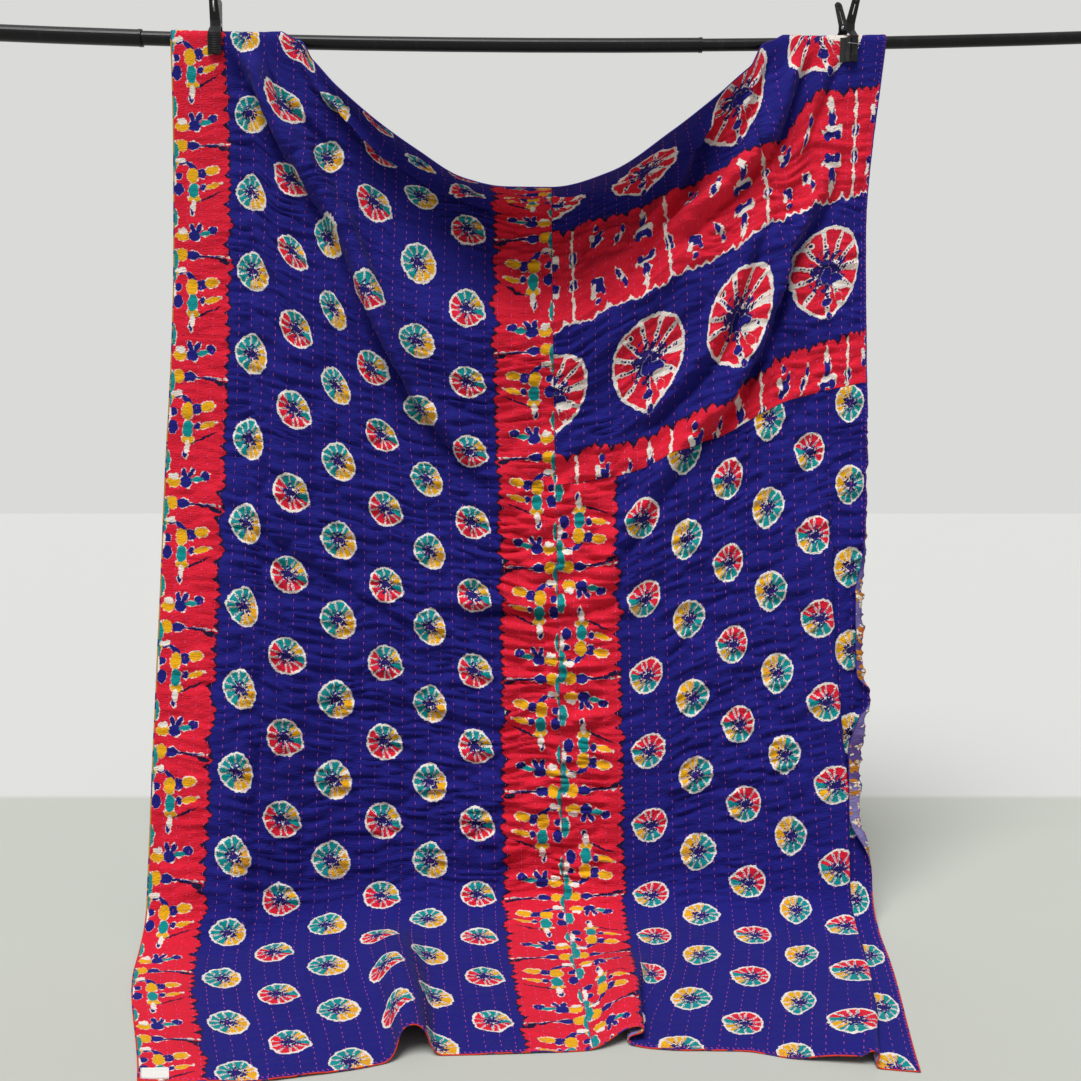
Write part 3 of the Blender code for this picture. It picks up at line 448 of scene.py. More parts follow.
def cloth_row(across: Array, along: Array) -> Array:
    """One row of the quilt's middle surface, in the part's own frame.

    Args:
        across: Metres from the quilt's left edge.
        along: How far along each place is, from 0 at the top hem.

    Returns:
        (N, 3) points.
    """
    def along_at(places: Array) -> Array:
        """The row's `along` at flat places across."""
        return np.interp(places, across, along)

    flat, width, curl_width, rise = pleated(along_at)
    x = row_x(across, along_at, lambda places: np.interp(places, flat, width))
    names = ("top_y", "top_z", "shelf_z", "high_z", "mid_z", "foot_y", "foot_down", "hem_y")
    lines = {name: through(station("across"), station(name), across) for name in names}
    lines["leaves"] = leaves_bar_at(across, x)
    lines["held"] = on_bar(across)
    lines["over"] = over_bar(across)
    lines["crossing"] = lines["held"] * (1.0 - lines["over"])
    down = down_of(across, along)
    past = down - lines["leaves"]
    y, z = profile(lines, x, past)
    y_before, z_before = profile(lines, x, past - NORMAL_STEP)
    y_after, z_after = profile(lines, x, past + NORMAL_STEP)
    length = np.hypot(y_after - y_before, z_after - z_before)
    loose = between(*CLAMP_HOLD, past)
    loose = loose * (1.0 - between(-FOLDS_END[0], -FOLDS_END[1], down - lines["foot_down"]))
    lift = np.interp(across, flat, rise) + folds_forward(across, down) * loose
    x = x + np.interp(across, flat, curl_width)
    y = y + (z_after - z_before) / length * lift
    z = z - (y_after - y_before) / length * lift
    return np.stack([x, y, z - ROD_HEIGHT], axis=-1)


# --- Folds, puckers and creases of washed, hand-sewn cotton ------------------------------------
class Shape(Enum):
    """How a set of random waves rises and falls."""

    SOFT = "soft"
    CREASED = "creased"


@dataclass(frozen=True)
class Ripple:
    """Random waves of one size over the flat quilt, from -1 to 1."""

    seed: int
    cell_across: float
    cell_down: float
    shape: Shape = Shape.SOFT

    def at(self, across: Array, down: Array) -> Array:
        """The wave's height at flat places.

        Args:
            across: Metres from the quilt's left edge.
            down: Metres from its top hem.

        Returns:
            Heights from -1 to 1.  A creased wave has round tops and sharp bottoms.
        """
        chance = np.random.default_rng(self.seed)
        x = (across + 0.2) / self.cell_across
        y = (down + 0.2) / self.cell_down
        knots = chance.uniform(-1.0, 1.0, (int(y.max()) + 3, int(x.max()) + 3))
        i, j = np.floor(x).astype(int), np.floor(y).astype(int)
        s, t = ease(x - i), ease(y - j)
        upper = knots[j, i] * (1.0 - s) + knots[j, i + 1] * s
        lower = knots[j + 1, i] * (1.0 - s) + knots[j + 1, i + 1] * s
        wave = upper * (1.0 - t) + lower * t
        return wave if self.shape is Shape.SOFT else 2.0 * np.abs(wave) ** 0.8 - 0.8


@dataclass(frozen=True)
class Crease:
    """A listed fold: a soft ridge with a valley below it, along a line of the flat quilt.

    Each place is (across, down, strength from 0 to 1), and everything is in millimetres.
    """

    places: tuple[tuple[float, float, float], ...]
    ridge: float
    valley: float
    spacing: float

    def at(self, across: Array, down: Array) -> Array:
        """The fold's height at flat places.

        Args:
            across: Metres from the quilt's left edge.
            down: Metres from its top hem.

        Returns:
            Metres.
        """
        height = np.zeros_like(across)
        nearest = np.full_like(across, np.inf)
        places = np.array(self.places) * (MM, MM, 1.0)
        ridge_height, valley_depth, spacing = self.ridge * MM, self.valley * MM, self.spacing * MM
        for (x0, y0, s0), (x1, y1, s1) in zip(places, places[1:]):
            run = np.array([x1 - x0, y1 - y0])
            length = np.hypot(*run)
            t = ((across - x0) * run[0] + (down - y0) * run[1]) / length ** 2
            held = np.clip(t, 0.0, 1.0)
            far = np.hypot(across - x0 - held * run[0], down - y0 - held * run[1])
            above = ((across - x0) * run[1] - (down - y0) * run[0]) / length * np.sign(run[0])
            above = np.where(far > 0.0, np.sign(above) * far, 0.0)
            strength = s0 + held * (s1 - s0)
            ridge = ridge_height * np.exp(-(((above - spacing) / (spacing * 0.75)) ** 2))
            valley = valley_depth * np.exp(-((above / (spacing * 0.42)) ** 2))
            fold = (ridge - valley) * strength
            height = np.where(far < nearest, fold, height)
            nearest = np.minimum(nearest, far)
        return height


CREASES = (
    Crease((
        (96, 55, 0), (118, 125, 0.9), (145, 180, 1), (205, 245, 1), (265, 350, 0.95), (365, 470, 0.9),
        (440, 600, 1), (530, 745, 0.9), (620, 850, 0.6), (700, 930, 0),
    ), 14, 11, 36),
    Crease((
        (235, 62, 0), (355, 125, 0.9), (425, 145, 1), (540, 185, 0.8), (645, 265, 0.6), (745, 260, 0.5),
        (825, 270, 0),
    ), 8.5, 6.5, 24),
    Crease((
        (1235, 75, 0), (1180, 160, 0.8), (1130, 265, 1), (1100, 375, 1), (1035, 445, 0.8), (960, 520, 0),
    ), 9.5, 8.5, 32),
    Crease((
        (1405, 120, 0), (1362, 210, 0.9), (1265, 365, 1), (1180, 445, 1), (1090, 500, 0.8), (980, 500, 0),
    ), 12, 7, 34),
    Crease((
        (1280, 500, 0), (1225, 600, 0.7), (1175, 730, 1), (1135, 780, 1), (1085, 810, 0.9),
        (1020, 835, 0.7), (920, 830, 0),
    ), 9.5, 8.5, 30),
    Crease((
        (1435, 400, 0), (1400, 520, 0.7), (1325, 615, 1), (1270, 760, 1), (1195, 860, 1), (1105, 920, 0.9),
        (1020, 975, 0.7), (950, 1040, 0.5), (910, 1160, 0),
    ), 11.5, 9.5, 34),
    Crease((
        (1330, 85, 0), (1290, 140, 0.8), (1235, 230, 0.7), (1180, 330, 0),
    ), 5, 5, 18),
    Crease((
        (1440, 130, 0), (1420, 220, 0.7), (1380, 330, 0.8), (1340, 430, 0),
    ), 4.5, 4.5, 20),
    Crease((
        (170, 70, 0), (215, 130, 0.8), (290, 205, 0.7), (380, 265, 0),
    ), 4.5, 4.5, 18),
    Crease((
        (60, 300, 0), (110, 420, 0.6), (200, 580, 0.7), (310, 720, 0.5), (400, 800, 0),
    ), 3.4, 3, 26),
    Crease((
        (500, 1200, 0), (565, 1180, 0.7), (690, 1165, 1), (810, 1165, 1), (885, 1155, 0.7), (960, 1130, 0),
    ), 5, 6, 20),
    Crease((
        (120, 1020, 0), (220, 1070, 0.6), (360, 1150, 0.7), (500, 1220, 0.6), (660, 1250, 0),
    ), 4.8, 4.8, 22),
    Crease((
        (400, 1360, 0), (550, 1400, 0.6), (700, 1420, 0.6), (880, 1410, 0.5), (1050, 1360, 0),
    ), 4.2, 4.8, 20),
)
STITCH_LINES = 0.027  # apart
STITCH_PITCH = 0.0155
THINNEST = 0.00035  # half of the quilt's thickness at its edges and stitches
PUFFED = 0.00085  # and what it gains between the lines of stitching


@dataclass(frozen=True)
class Relief:
    """The small folds of the quilt and its thickness."""

    wide_height: float = 0.0045
    wave_height: float = 0.0044
    crinkle_height: float = 0.0064
    fine_height: float = 0.0022
    wander_reach: float = 0.012
    crease_share: float = 2.5
    rounding: float = 0.004  # from an edge in to where the quilt is at its full thickness
    wide: Ripple = Ripple(11, 0.150, 0.110)
    waves: Ripple = Ripple(12, 0.060, 0.034)
    crinkles: Ripple = Ripple(13, 0.048, 0.0112, Shape.CREASED)
    fine: Ripple = Ripple(14, 0.030, 0.0066)
    wander: Ripple = Ripple(15, 0.080, 0.120)
    patches: Ripple = Ripple(16, 0.200, 0.160)

    def strength(self, across: Array, down: Array) -> Array:
        """How strongly the cloth is crinkled at flat places.

        Args:
            across: Metres from the quilt's left edge.
            down: Metres from its top hem.

        Returns:
            Shares, about 1 in the quilt's middle.
        """
        middle = np.exp(-(((down - 1.15) / 0.62) ** 2))
        band = np.exp(-(((across - 0.81) / 0.16) ** 2))
        strength = 0.42 + 0.50 * middle + 0.35 * band + 0.22 * self.patches.at(across, down)
        lying = between(1.72, 1.95, down)
        border = 1.0 - 0.45 * (1.0 - between(0.06, 0.17, across))
        return np.clip(strength, 0.1, 1.3) * (1.0 - 0.55 * lying) * border

    def height(self, across: Array, down: Array, past: Array) -> Array:
        """How far the small folds bring the cloth forward.

        Args:
            across: Metres from the quilt's left edge.
            down: Metres from its top hem.
            past: Metres past the bar, or past the hem of the swag.

        Returns:
            Metres towards the printed front.
        """
        strength = self.strength(across, down)
        bent = down + self.wander_reach * self.wander.at(across, down)
        free = between(0.010, 0.070, past)
        lying = 1.0 - 0.55 * between(1.74, 1.92, down)
        height = self.wide_height * self.wide.at(across, down) * lying
        for ripple, full in ((self.waves, self.wave_height), (self.crinkles, self.crinkle_height),
                             (self.fine, self.fine_height)):
            height += full * ripple.at(across, bent) * strength
        tucked = np.zeros_like(across)
        for start, end, _, _ in PLEATS[1:]:
            inside = between(start - 0.02, start, across) * (1.0 - between(end, end + 0.02, across))
            tucked = np.maximum(tucked, inside)
        height *= 1.0 - 0.7 * tucked * between(1.0, 1.3, down)
        height += self.crease_share * sum(crease.at(across, down) for crease in CREASES)
        height = np.where(down > 1.78, np.maximum(height, -LYING_HEIGHT / 2), height)
        near_edge = np.minimum(across, QUILT_WIDTH - across)
        return height * free * (0.35 + 0.65 * between(0.0, 0.03, near_edge))

    def half_thickness(self, across: Array, down: Array, edge: Array) -> Array:
        """Half the quilt's thickness.

        Args:
            across: Metres from the quilt's left edge.
            down: Metres from its top hem.
            edge: Metres from the nearest edge of the quilt.

        Returns:
            Metres from the middle of the quilt to either face.
        """
        line = np.abs(np.sin(math.pi * across / STITCH_LINES)) ** 0.6
        pucker = 0.75 + 0.25 * np.cos(2.0 * math.pi * down / STITCH_PITCH)
        full = THINNEST + PUFFED * (1.0 - (1.0 - line) * pucker)
        return full * (0.25 + 0.75 * np.clip(edge / self.rounding, 0.0, 1.0) ** 0.5)


# --- The quilt ---------------------------------------------------------------------------------
def add_piece(name: str, points: Array, faces: Array, finish: bpy.types.Material, places: Array | None = None,
              ) -> bpy.types.Object:
    """Adds a smooth mesh piece that rides on the one body.

    Args:
        name: The piece's name.
        points: (N, 3) vertices.
        faces: (M, 3) or (M, 4) vertex numbers.
        finish: Its material.
        places: (N, 2) flat cloth places for the print, if it has one.

    Returns:
        The new object.
    """
    mesh = bpy.data.meshes.new(name)
    corners = np.asarray(faces, dtype=np.int32)
    size = corners.shape[1]
    mesh.vertices.add(len(points))
    mesh.vertices.foreach_set("co", np.asarray(points, dtype=np.float32).ravel())
    mesh.loops.add(corners.size)
    mesh.loops.foreach_set("vertex_index", corners.ravel())
    mesh.polygons.add(len(corners))
    mesh.polygons.foreach_set("loop_start", np.arange(0, corners.size, size, dtype=np.int32))
    mesh.update(calc_edges=True)
    mesh.shade_smooth()
    if places is not None:
        layer = mesh.uv_layers.new(name="cloth")
        layer.data.foreach_set("uv", np.asarray(places, dtype=np.float32)[corners.ravel()].ravel())
    mesh.materials.append(finish)
    made = bpy.data.objects.new(name, mesh)
    bpy.context.scene.collection.objects.link(made)
    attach(made, "root")
    log.info("%s: %d faces", name, len(corners))
    return made


def grid_faces(rows: int, columns: int) -> Array:
    """Quads over a grid of points whose first axis runs down.

    Args:
        rows: How many points down.
        columns: How many points across.

    Returns:
        (M, 4) point numbers, facing the printed front.
    """
    corner = np.arange(rows * columns).reshape(rows, columns)
    a, b = corner[:-1, :-1], corner[:-1, 1:]
    c, d = corner[1:, 1:], corner[1:, :-1]
    return np.stack([a, d, c, b], axis=-1).reshape(-1, 4)


def lofted(rings: Array, is_loop: bool = False) -> Array:
    """Quads between rings of points that are numbered ring by ring.

    Args:
        rings: (rings, sides, 3) points.
        is_loop: Whether the last ring joins the first.

    Returns:
        (M, 4) point numbers.
    """
    count, sides = rings.shape[:2]
    ring = np.arange(count if is_loop else count - 1)[:, None] * sides
    ahead = (ring + sides) % (count * sides)
    side = np.arange(sides)[None]
    beside = (side + 1) % sides
    return np.stack([ring + side, ring + beside, ahead + beside, ahead + side], axis=-1).reshape(-1, 4)


def round_the_edge(grid: Array) -> Array:
    """The grid's outermost places in order, without repeats."""
    return np.concatenate([grid[:, 0], grid[-1, 1:], grid[-2::-1, -1], grid[0, -2:0:-1]])


def along_grid(points: Array, axis: int) -> Array:
    """Unit directions along one axis of a grid of points."""
    run = np.gradient(points, axis=axis)
    return run / np.linalg.norm(run, axis=-1, keepdims=True)


@dataclass
class QuiltCloth:
    """The quilt's whole surface as a fine grid, from which every cloth piece is cut."""

    row_step: float = 0.0040
    column_step: float = 0.0056
    fold_step: float = 0.0028
    folded: tuple[tuple[float, float], ...] = ((0.900, 1.010), (1.362, 1.440), (1.446, 1.500), (0.0, 0.008))
    seam_gap: float = 0.001  # between the two columns on either side of the centre seam
    quick_steps: float = 2.5
    lining: float = 0.0008  # what the back cloth adds behind the sewing

    def __post_init__(self) -> None:
        """Works out the grid's places, its middle surface and both faces."""
        coarse = 1.0
        self.across = self.columns(coarse)
        self.along = np.linspace(0.0, QUILT_LENGTH, int(QUILT_LENGTH / (self.row_step * coarse)) + 1)
        self.u, along = np.meshgrid(self.across, self.along)
        self.v = down_of(self.u, along)
        middle = np.array([cloth_row(self.across, np.full_like(self.across, s)) for s in self.along])
        normal = self.normals(middle)
        past = self.v - leaves_bar_at(self.u, middle[..., 0])
        relief = Relief()
        height = relief.height(self.u, self.v, past)
        sunk = height.copy()  # so that the back cloth, on fewer columns, never comes through the front
        sunk[:, 1:-1] = np.minimum(height[:, 1:-1], np.minimum(height[:, :-2], height[:, 2:]))
        edge = np.minimum.reduce([self.u, QUILT_WIDTH - self.u, along, QUILT_LENGTH - along])
        half = relief.half_thickness(self.u, self.v, edge)[..., None]
        self.middle = middle + normal * height[..., None]
        self.normal = normal
        self.front = self.middle + normal * half
        self.back = middle + normal * (sunk[..., None] - half - self.lining)

    def columns(self, coarse: float) -> Array:
        """Spaces the columns, closer together in the folds and at the edges.

        Args:
            coarse: How many times the steps' usual size.

        Returns:
            Flat places across.
        """
        fine = np.linspace(0.0, QUILT_WIDTH, 6001)
        step = np.full_like(fine, self.column_step)
        for start, end in self.folded:
            step = np.where((fine > start) & (fine < end), self.fold_step, step)
        count = running_total(1.0 / step, fine)
        places = np.interp(np.arange(0.0, count[-1] / coarse) * coarse, count, fine)
        seam = (CENTRE_SEAM - self.seam_gap / 2, CENTRE_SEAM + self.seam_gap / 2)
        places = places[np.abs(places - CENTRE_SEAM) > 0.0022]
        return np.unique(np.concatenate([places, seam, [QUILT_WIDTH]]))

    @staticmethod
    def normals(points: Array) -> Array:
        """Unit directions towards the printed front, over a grid of points."""
        facing = np.cross(along_grid(points, 0), along_grid(points, 1))
        return facing / np.linalg.norm(facing, axis=-1, keepdims=True)

    def cut(self, face: Array, first: int, last: int, along: Array) -> Array:
        """Points of one face in columns first to last, on new rows.

        Args:
            face: `front`, `back`, `middle` or `normal`.
            first: The first column.
            last: One past the last column.
            along: (rows, columns) of `along` for each point.

        Returns:
            (rows, columns, 3) points.
        """
        cut = np.empty((*along.shape, 3))
        for i in range(last - first):
            for axis in range(3):
                cut[:, i, axis] = np.interp(along[:, i], self.along, face[:, first + i, axis])
        return cut

    def read(self, face: Array, across: Array, down: Array) -> Array:
        """Points of one face at any flat places.

        Args:
            face: `front`, `back`, `middle` or `normal`.
            across: Metres from the left edge.
            down: Metres from the top hem.

        Returns:
            (N, 3) points.
        """
        column = np.interp(across, self.across, np.arange(len(self.across)))
        row = np.interp(along_of(across, down), self.along, np.arange(len(self.along)))
        i = np.clip(column.astype(int), 0, len(self.across) - 2)
        j = np.clip(row.astype(int), 0, len(self.along) - 2)
        s, t = (column - i)[..., None], (row - j)[..., None]
        upper = face[j, i] * (1.0 - s) + face[j, i + 1] * s
        lower = face[j + 1, i] * (1.0 - s) + face[j + 1, i + 1] * s
        return upper * (1.0 - t) + lower * t


@dataclass(frozen=True)
class Stitch:
    """One kind of stitch: its direction on the flat cloth, how much of it shows, and its thread's radius."""

    run: tuple[float, float]
    length: float
    radius: float


RUNNING_STITCH = Stitch((0.0, 1.0), 0.0080, 0.00060)
EDGE_STITCH = Stitch((0.75, 0.66), 0.0062, 0.00050)
LABEL_STITCH = Stitch((0.0, 1.0), 0.0040, 0.0004)
# Along a stitch: the share of its length, its lift off the cloth, and whether it ends in a point.
THREAD_SECTIONS = (
    (-0.50, -0.0004, True), (-0.26, 0.00018, False), (0.26, 0.00018, False), (0.50, -0.0004, True),
)


@dataclass
class Quilt:
    """The pieced front, the back cloth, the sewing and the hem."""

    cloth: QuiltCloth
    print_turn: tuple[float, float] = (1.620, 1.648)  # twice the point that the right panel's is turned about
    hem_half_width: float = 0.0015
    hem_half_depth: float = 0.00095
    edge_pitch: float = 0.0085

    def panel(self, name: str, columns: tuple[int, int], along: Array, places: Callable,
              finish: bpy.types.Material) -> bpy.types.Object:
        """Cuts one front panel from the cloth.

        Args:
            name: The piece's name.
            columns: The first column, and one past the last.
            along: (rows, columns) of `along`.
            places: Turns flat places (across, down) into the print's own.
            finish: The printed cloth.

        Returns:
            The new object.
        """
        first, last = columns
        points = self.cloth.cut(self.cloth.front, first, last, along)
        across = np.broadcast_to(self.cloth.across[first:last], along.shape)
        printed = np.stack(places(across, down_of(across, along)), axis=-1)
        return add_piece(
            name, points.reshape(-1, 3), grid_faces(*along.shape), finish, printed.reshape(-1, 2),
        )

    def add_front(self, indigo: bpy.types.Material, end: bpy.types.Material) -> None:
        """Adds the left, right and end panels of the printed front.

        Args:
            indigo: The print of the left and right panels.
            end: The print of the end panel.
        """
        cloth = self.cloth
        seam = int(np.searchsorted(cloth.across, CENTRE_SEAM))
        count = len(cloth.across)
        rows = np.repeat(cloth.along[:, None], seam, axis=1)
        left = self.panel("quilt_front_left", (0, seam), rows, pulled, indigo)
        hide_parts("front_panel_left")
        across = cloth.across[seam:]
        meets = along_of(across, cross_seam(across))
        step = cloth.along[1]
        upper = np.linspace(0.0, 1.0, int(meets.mean() / step))[:, None] * (meets - 0.0005)
        lower = np.linspace(0.0, 1.0, int((QUILT_LENGTH - meets.mean()) / step))[:, None]
        lower = meets + 0.0005 + lower * (QUILT_LENGTH - meets - 0.0005)
        top = self.panel("quilt_front_end", (seam, count), upper, end_print_places, end)
        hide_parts("front_panel_end")
        turn_x, turn_y = self.print_turn
        right = self.panel("quilt_front_right", (seam, count), lower, lambda u, v: (turn_x - u, turn_y - v),
                           indigo)
        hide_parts("front_panel_right")

    def add_back(self, finish: bpy.types.Material) -> None:
        """Adds the back cloth, on every other column except in the curled edge.

        Args:
            finish: Its print.
        """
        cloth = self.cloth
        keep = np.unique(np.concatenate([
            np.arange(0, len(cloth.across), 2), np.flatnonzero(cloth.across > 1.440), [len(cloth.across) - 1],
        ]))
        points = cloth.back[:, keep]
        places = np.stack([cloth.u, cloth.v], axis=-1)[:, keep]
        faces = grid_faces(*points.shape[:2])[:, ::-1]
        back = add_piece("quilt_back", points.reshape(-1, 3), faces, finish, places.reshape(-1, 2))
        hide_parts("back_cloth")

    def stitch_places(self, seed: int) -> tuple[Array, Array]:
        """Spaces the running stitches unevenly, as a hand sews them.

        Args:
            seed: Makes one face's unevenness unlike the other's.

        Returns:
            Across, and down to the middle of each.
        """
        chance = np.random.default_rng(seed)
        across, down = [], []
        for line in np.arange(STITCH_LINES, QUILT_WIDTH - 0.006, STITCH_LINES):
            start = top_hem(np.array([line]))[0] + 0.008 + chance.uniform(0.0, STITCH_PITCH)
            places = np.arange(start, QUILT_LENGTH - 0.008, STITCH_PITCH)
            down.append(places + chance.uniform(-0.0015, 0.0015, len(places)))
            across.append(line + chance.uniform(-0.0006, 0.0006, len(places)))
        return np.concatenate(across), np.concatenate(down)

    def add_stitches(self, name: str, face: Array, side: float,
                     finish: bpy.types.Material) -> bpy.types.Object:
        """Adds every running stitch on one face, as short lengths of thread in one mesh.

        Args:
            name: The piece's name.
            face: The cloth's `front` or `back` points.
            side: 1 on the front, -1 on the back.
            finish: The thread.

        Returns:
            The new object.
        """
        across, down = self.stitch_places(3 if side > 0 else 4)
        if side < 0:
            down = np.minimum(down + STITCH_PITCH / 2, QUILT_LENGTH - 0.006)
        return self.threads(name, face, side, across, down, RUNNING_STITCH, finish)

    def threads(self, name: str, face: Array, side: float, across: Array, down: Array, stitch: Stitch,
                finish: bpy.types.Material) -> bpy.types.Object:
        """Adds short threads that lie on the cloth, each with its ends pulled into it.

        Args:
            name: The piece's name.
            face: The cloth's points that they lie on.
            side: 1 on the front, -1 on the back.
            across: Where the middle of each is.
            down: Where the middle of each is.
            stitch: Their kind.
            finish: The thread's material.

        Returns:
            The new object.
        """
        run_x, run_y = stitch.run
        rings = []
        for share, lift, is_pointed in THREAD_SECTIONS:
            u = np.clip(across + run_x * stitch.length * share, 0.0, QUILT_WIDTH)
            v = down + run_y * stitch.length * share
            centre = self.cloth.read(face, u, v)
            up = self.cloth.read(self.cloth.normal, u, v) * side
            ahead = self.cloth.read(face, np.clip(u + run_x * MM, 0.0, QUILT_WIDTH), v + run_y * MM) - centre
            ahead /= np.maximum(np.linalg.norm(ahead, axis=-1, keepdims=True), 1e-9)
            beside = np.cross(ahead, up)
            centre = centre + up * lift
            if is_pointed:
                rings.append(centre[:, None])
                continue
            rings.append(np.stack([
                centre + beside * (stitch.radius * math.cos(t)) + up * (stitch.radius * math.sin(t))
                for t in np.radians([-30.0, 90.0, 210.0])
            ], axis=1))
        points = np.concatenate(rings, axis=1)
        one = [(0, 1, 2), (0, 2, 3), (0, 3, 1)]
        for i in range(3):
            j = (i + 1) % 3
            one += [(1 + i, 4 + i, 4 + j), (1 + i, 4 + j, 1 + j), (4 + i, 7, 4 + j)]
        faces = (np.array(one)[None] + np.arange(len(points))[:, None, None] * 8).reshape(-1, 3)
        if side < 0:
            faces = faces[:, ::-1]
        return add_piece(name, points.reshape(-1, 3), faces, finish)

    def add_hem(self, finish: bpy.types.Material) -> bpy.types.Object:
        """Adds the turned edge that runs right round the quilt.

        Args:
            finish: Its cotton.

        Returns:
            The new object.
        """
        line, up = round_the_edge(self.cloth.middle), round_the_edge(self.cloth.normal)
        ahead = np.roll(line, -1, axis=0) - np.roll(line, 1, axis=0)
        ahead /= np.linalg.norm(ahead, axis=-1, keepdims=True)
        out = np.cross(ahead, up)
        out /= np.linalg.norm(out, axis=-1, keepdims=True)
        points = np.stack([
            line + out * (self.hem_half_width * math.cos(turn)) + up * (self.hem_half_depth * math.sin(turn))
            for turn in np.radians(np.arange(0.0, 360.0, 60.0))
        ], axis=1)
        faces = lofted(points, is_loop=True)[:, [0, 3, 2, 1]]
        return add_piece("quilt_hem_edge", points.reshape(-1, 3), faces, finish)

    def add_edge_stitches(self, finish: bpy.types.Material) -> bpy.types.Object:
        """Adds the close stitches that hold the right edge and the bottom hem.

        Args:
            finish: The thread.

        Returns:
            The new object.
        """
        side_down = np.arange(0.14, QUILT_LENGTH - 0.01, self.edge_pitch)
        hem_across = np.arange(0.01, QUILT_WIDTH - 0.01, self.edge_pitch)
        across = np.concatenate([np.full_like(side_down, QUILT_WIDTH - 0.0035), hem_across])
        down = np.concatenate([side_down, np.full_like(hem_across, QUILT_LENGTH - 0.0040)])
        return self.threads("quilt_edge_stitches", self.cloth.front, 1.0, across, down, EDGE_STITCH, finish)

    def add_label(self, finish: bpy.types.Material, thread: bpy.types.Material) -> None:
        """Adds the blank tape label in the bottom left corner and its four tacking stitches.

        Args:
            finish: The tape.
            thread: The thread.
        """
        columns, rows = 13, 9
        u, along = np.meshgrid(np.linspace(*LABEL_ACROSS, columns), np.linspace(*LABEL_ALONG, rows))
        down = down_of(u, along)
        up = self.cloth.read(self.cloth.normal, u.ravel(), down.ravel()).reshape(rows, columns, 3)
        face = self.cloth.read(self.cloth.front, u.ravel(), down.ravel()).reshape(rows, columns, 3)
        rise = np.full((rows, columns), 0.00045)
        rise[1:-1, 1:-1] = 0.0008
        top = face + up * rise[..., None]
        under = face + up * 0.0001
        faces = grid_faces(rows, columns)
        size = rows * columns
        rim = round_the_edge(np.arange(size).reshape(rows, columns))
        ahead = np.roll(rim, -1)
        walls = np.stack([rim, rim + size, ahead + size, ahead], axis=-1)
        points = np.concatenate([top.reshape(-1, 3), under.reshape(-1, 3)])
        places = np.concatenate([np.stack([u, down], axis=-1).reshape(-1, 2)] * 2)
        faces = np.concatenate([faces, faces[:, ::-1] + size, walls[:, ::-1]])
        label = add_piece("quilt_label", points, faces, finish, places)
        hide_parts("corner_label")
        across = np.array([LABEL_ACROSS[0] + 0.002, LABEL_ACROSS[1] - 0.002] * 2)
        place = np.repeat(down_of(across[:2], np.array(LABEL_ALONG)), 2)
        self.threads("quilt_label_stitches", self.cloth.front + self.cloth.normal * 0.0008, 1.0, across,
                     place + np.array([0.003, 0.003, -0.003, -0.003]), LABEL_STITCH, thread)


@dataclass(frozen=True)
class Pull:
    """A place where folds hide some cloth, so that the print beside them shows right of and below its own."""

    across: float
    down: float
    right: float
    lower: float
    reach: float = 0.090


PULLS = (
    Pull(0.228, 0.150, -0.031, -0.022), Pull(0.240, 0.313, -0.019, -0.022),
    Pull(0.252, 0.482, -0.007, -0.013), Pull(0.157, 0.090, -0.007, -0.003),
    Pull(0.164, 0.245, 0.0, -0.010), Pull(0.164, 0.409, 0.0, -0.006), Pull(0.336, 0.282, -0.018, 0.027),
    Pull(0.335, 0.449, -0.019, 0.034), Pull(0.441, 0.312, -0.008, -0.024),
    Pull(0.430, 0.510, -0.020, 0.015), Pull(0.431, 0.677, -0.018, 0.022),
    Pull(1.010, 0.180, 0.010, -0.028, 0.11), Pull(1.223, 0.155, 0.023, -0.053, 0.11),
    Pull(1.373, 0.188, -0.027, -0.020, 0.10), Pull(1.181, 0.695, -0.016, 0.008, 0.14),
    Pull(1.110, 0.695, 0.013, 0.0, 0.09), Pull(1.252, 0.695, -0.013, 0.0, 0.09),
)


def pulled(across: Array, down: Array) -> tuple[Array, Array]:
    """Places of the print as the folds leave it.

    Args:
        across: Metres from the quilt's left edge.
        down: Metres from its top hem.

    Returns:
        The print's own places, across and down.
    """
    near = [(pull, np.exp(-((across - pull.across) ** 2 + (down - pull.down) ** 2) / pull.reach ** 2))
            for pull in PULLS]
    return (across - sum(pull.right * share for pull, share in near),
            down - sum(pull.lower * share for pull, share in near))


# How much lower the end panel's rows of print are, as (across, metres).
END_PRINT_DRIFT = (
    (0.80, 0.0), (0.90, 0.008), (1.00, 0.030), (1.13, 0.026), (1.28, -0.008), (1.40, -0.034), (1.50, -0.052),
)


def end_print_places(across: Array, down: Array) -> tuple[Array, Array]:
    """The end panel's print runs a little off the straight of its cloth.

    Args:
        across: Metres from the quilt's left edge.
        down: Metres from its top hem.

    Returns:
        The print's own places, across and down.
    """
    drift = through(*zip(*END_PRINT_DRIFT), across)
    return pulled(across, down - drift)


# --- Finishes ----------------------------------------------------------------------------------
@dataclass(frozen=True)
class Node:
    """A kind of shader node: its type, its own settings, the output that is read and its inputs in order."""

    type: str
    settings: dict[str, Any] = field(default_factory=dict)
    out: int | str | slice | None = 0
    sockets: Sequence[int | str] = range(9)


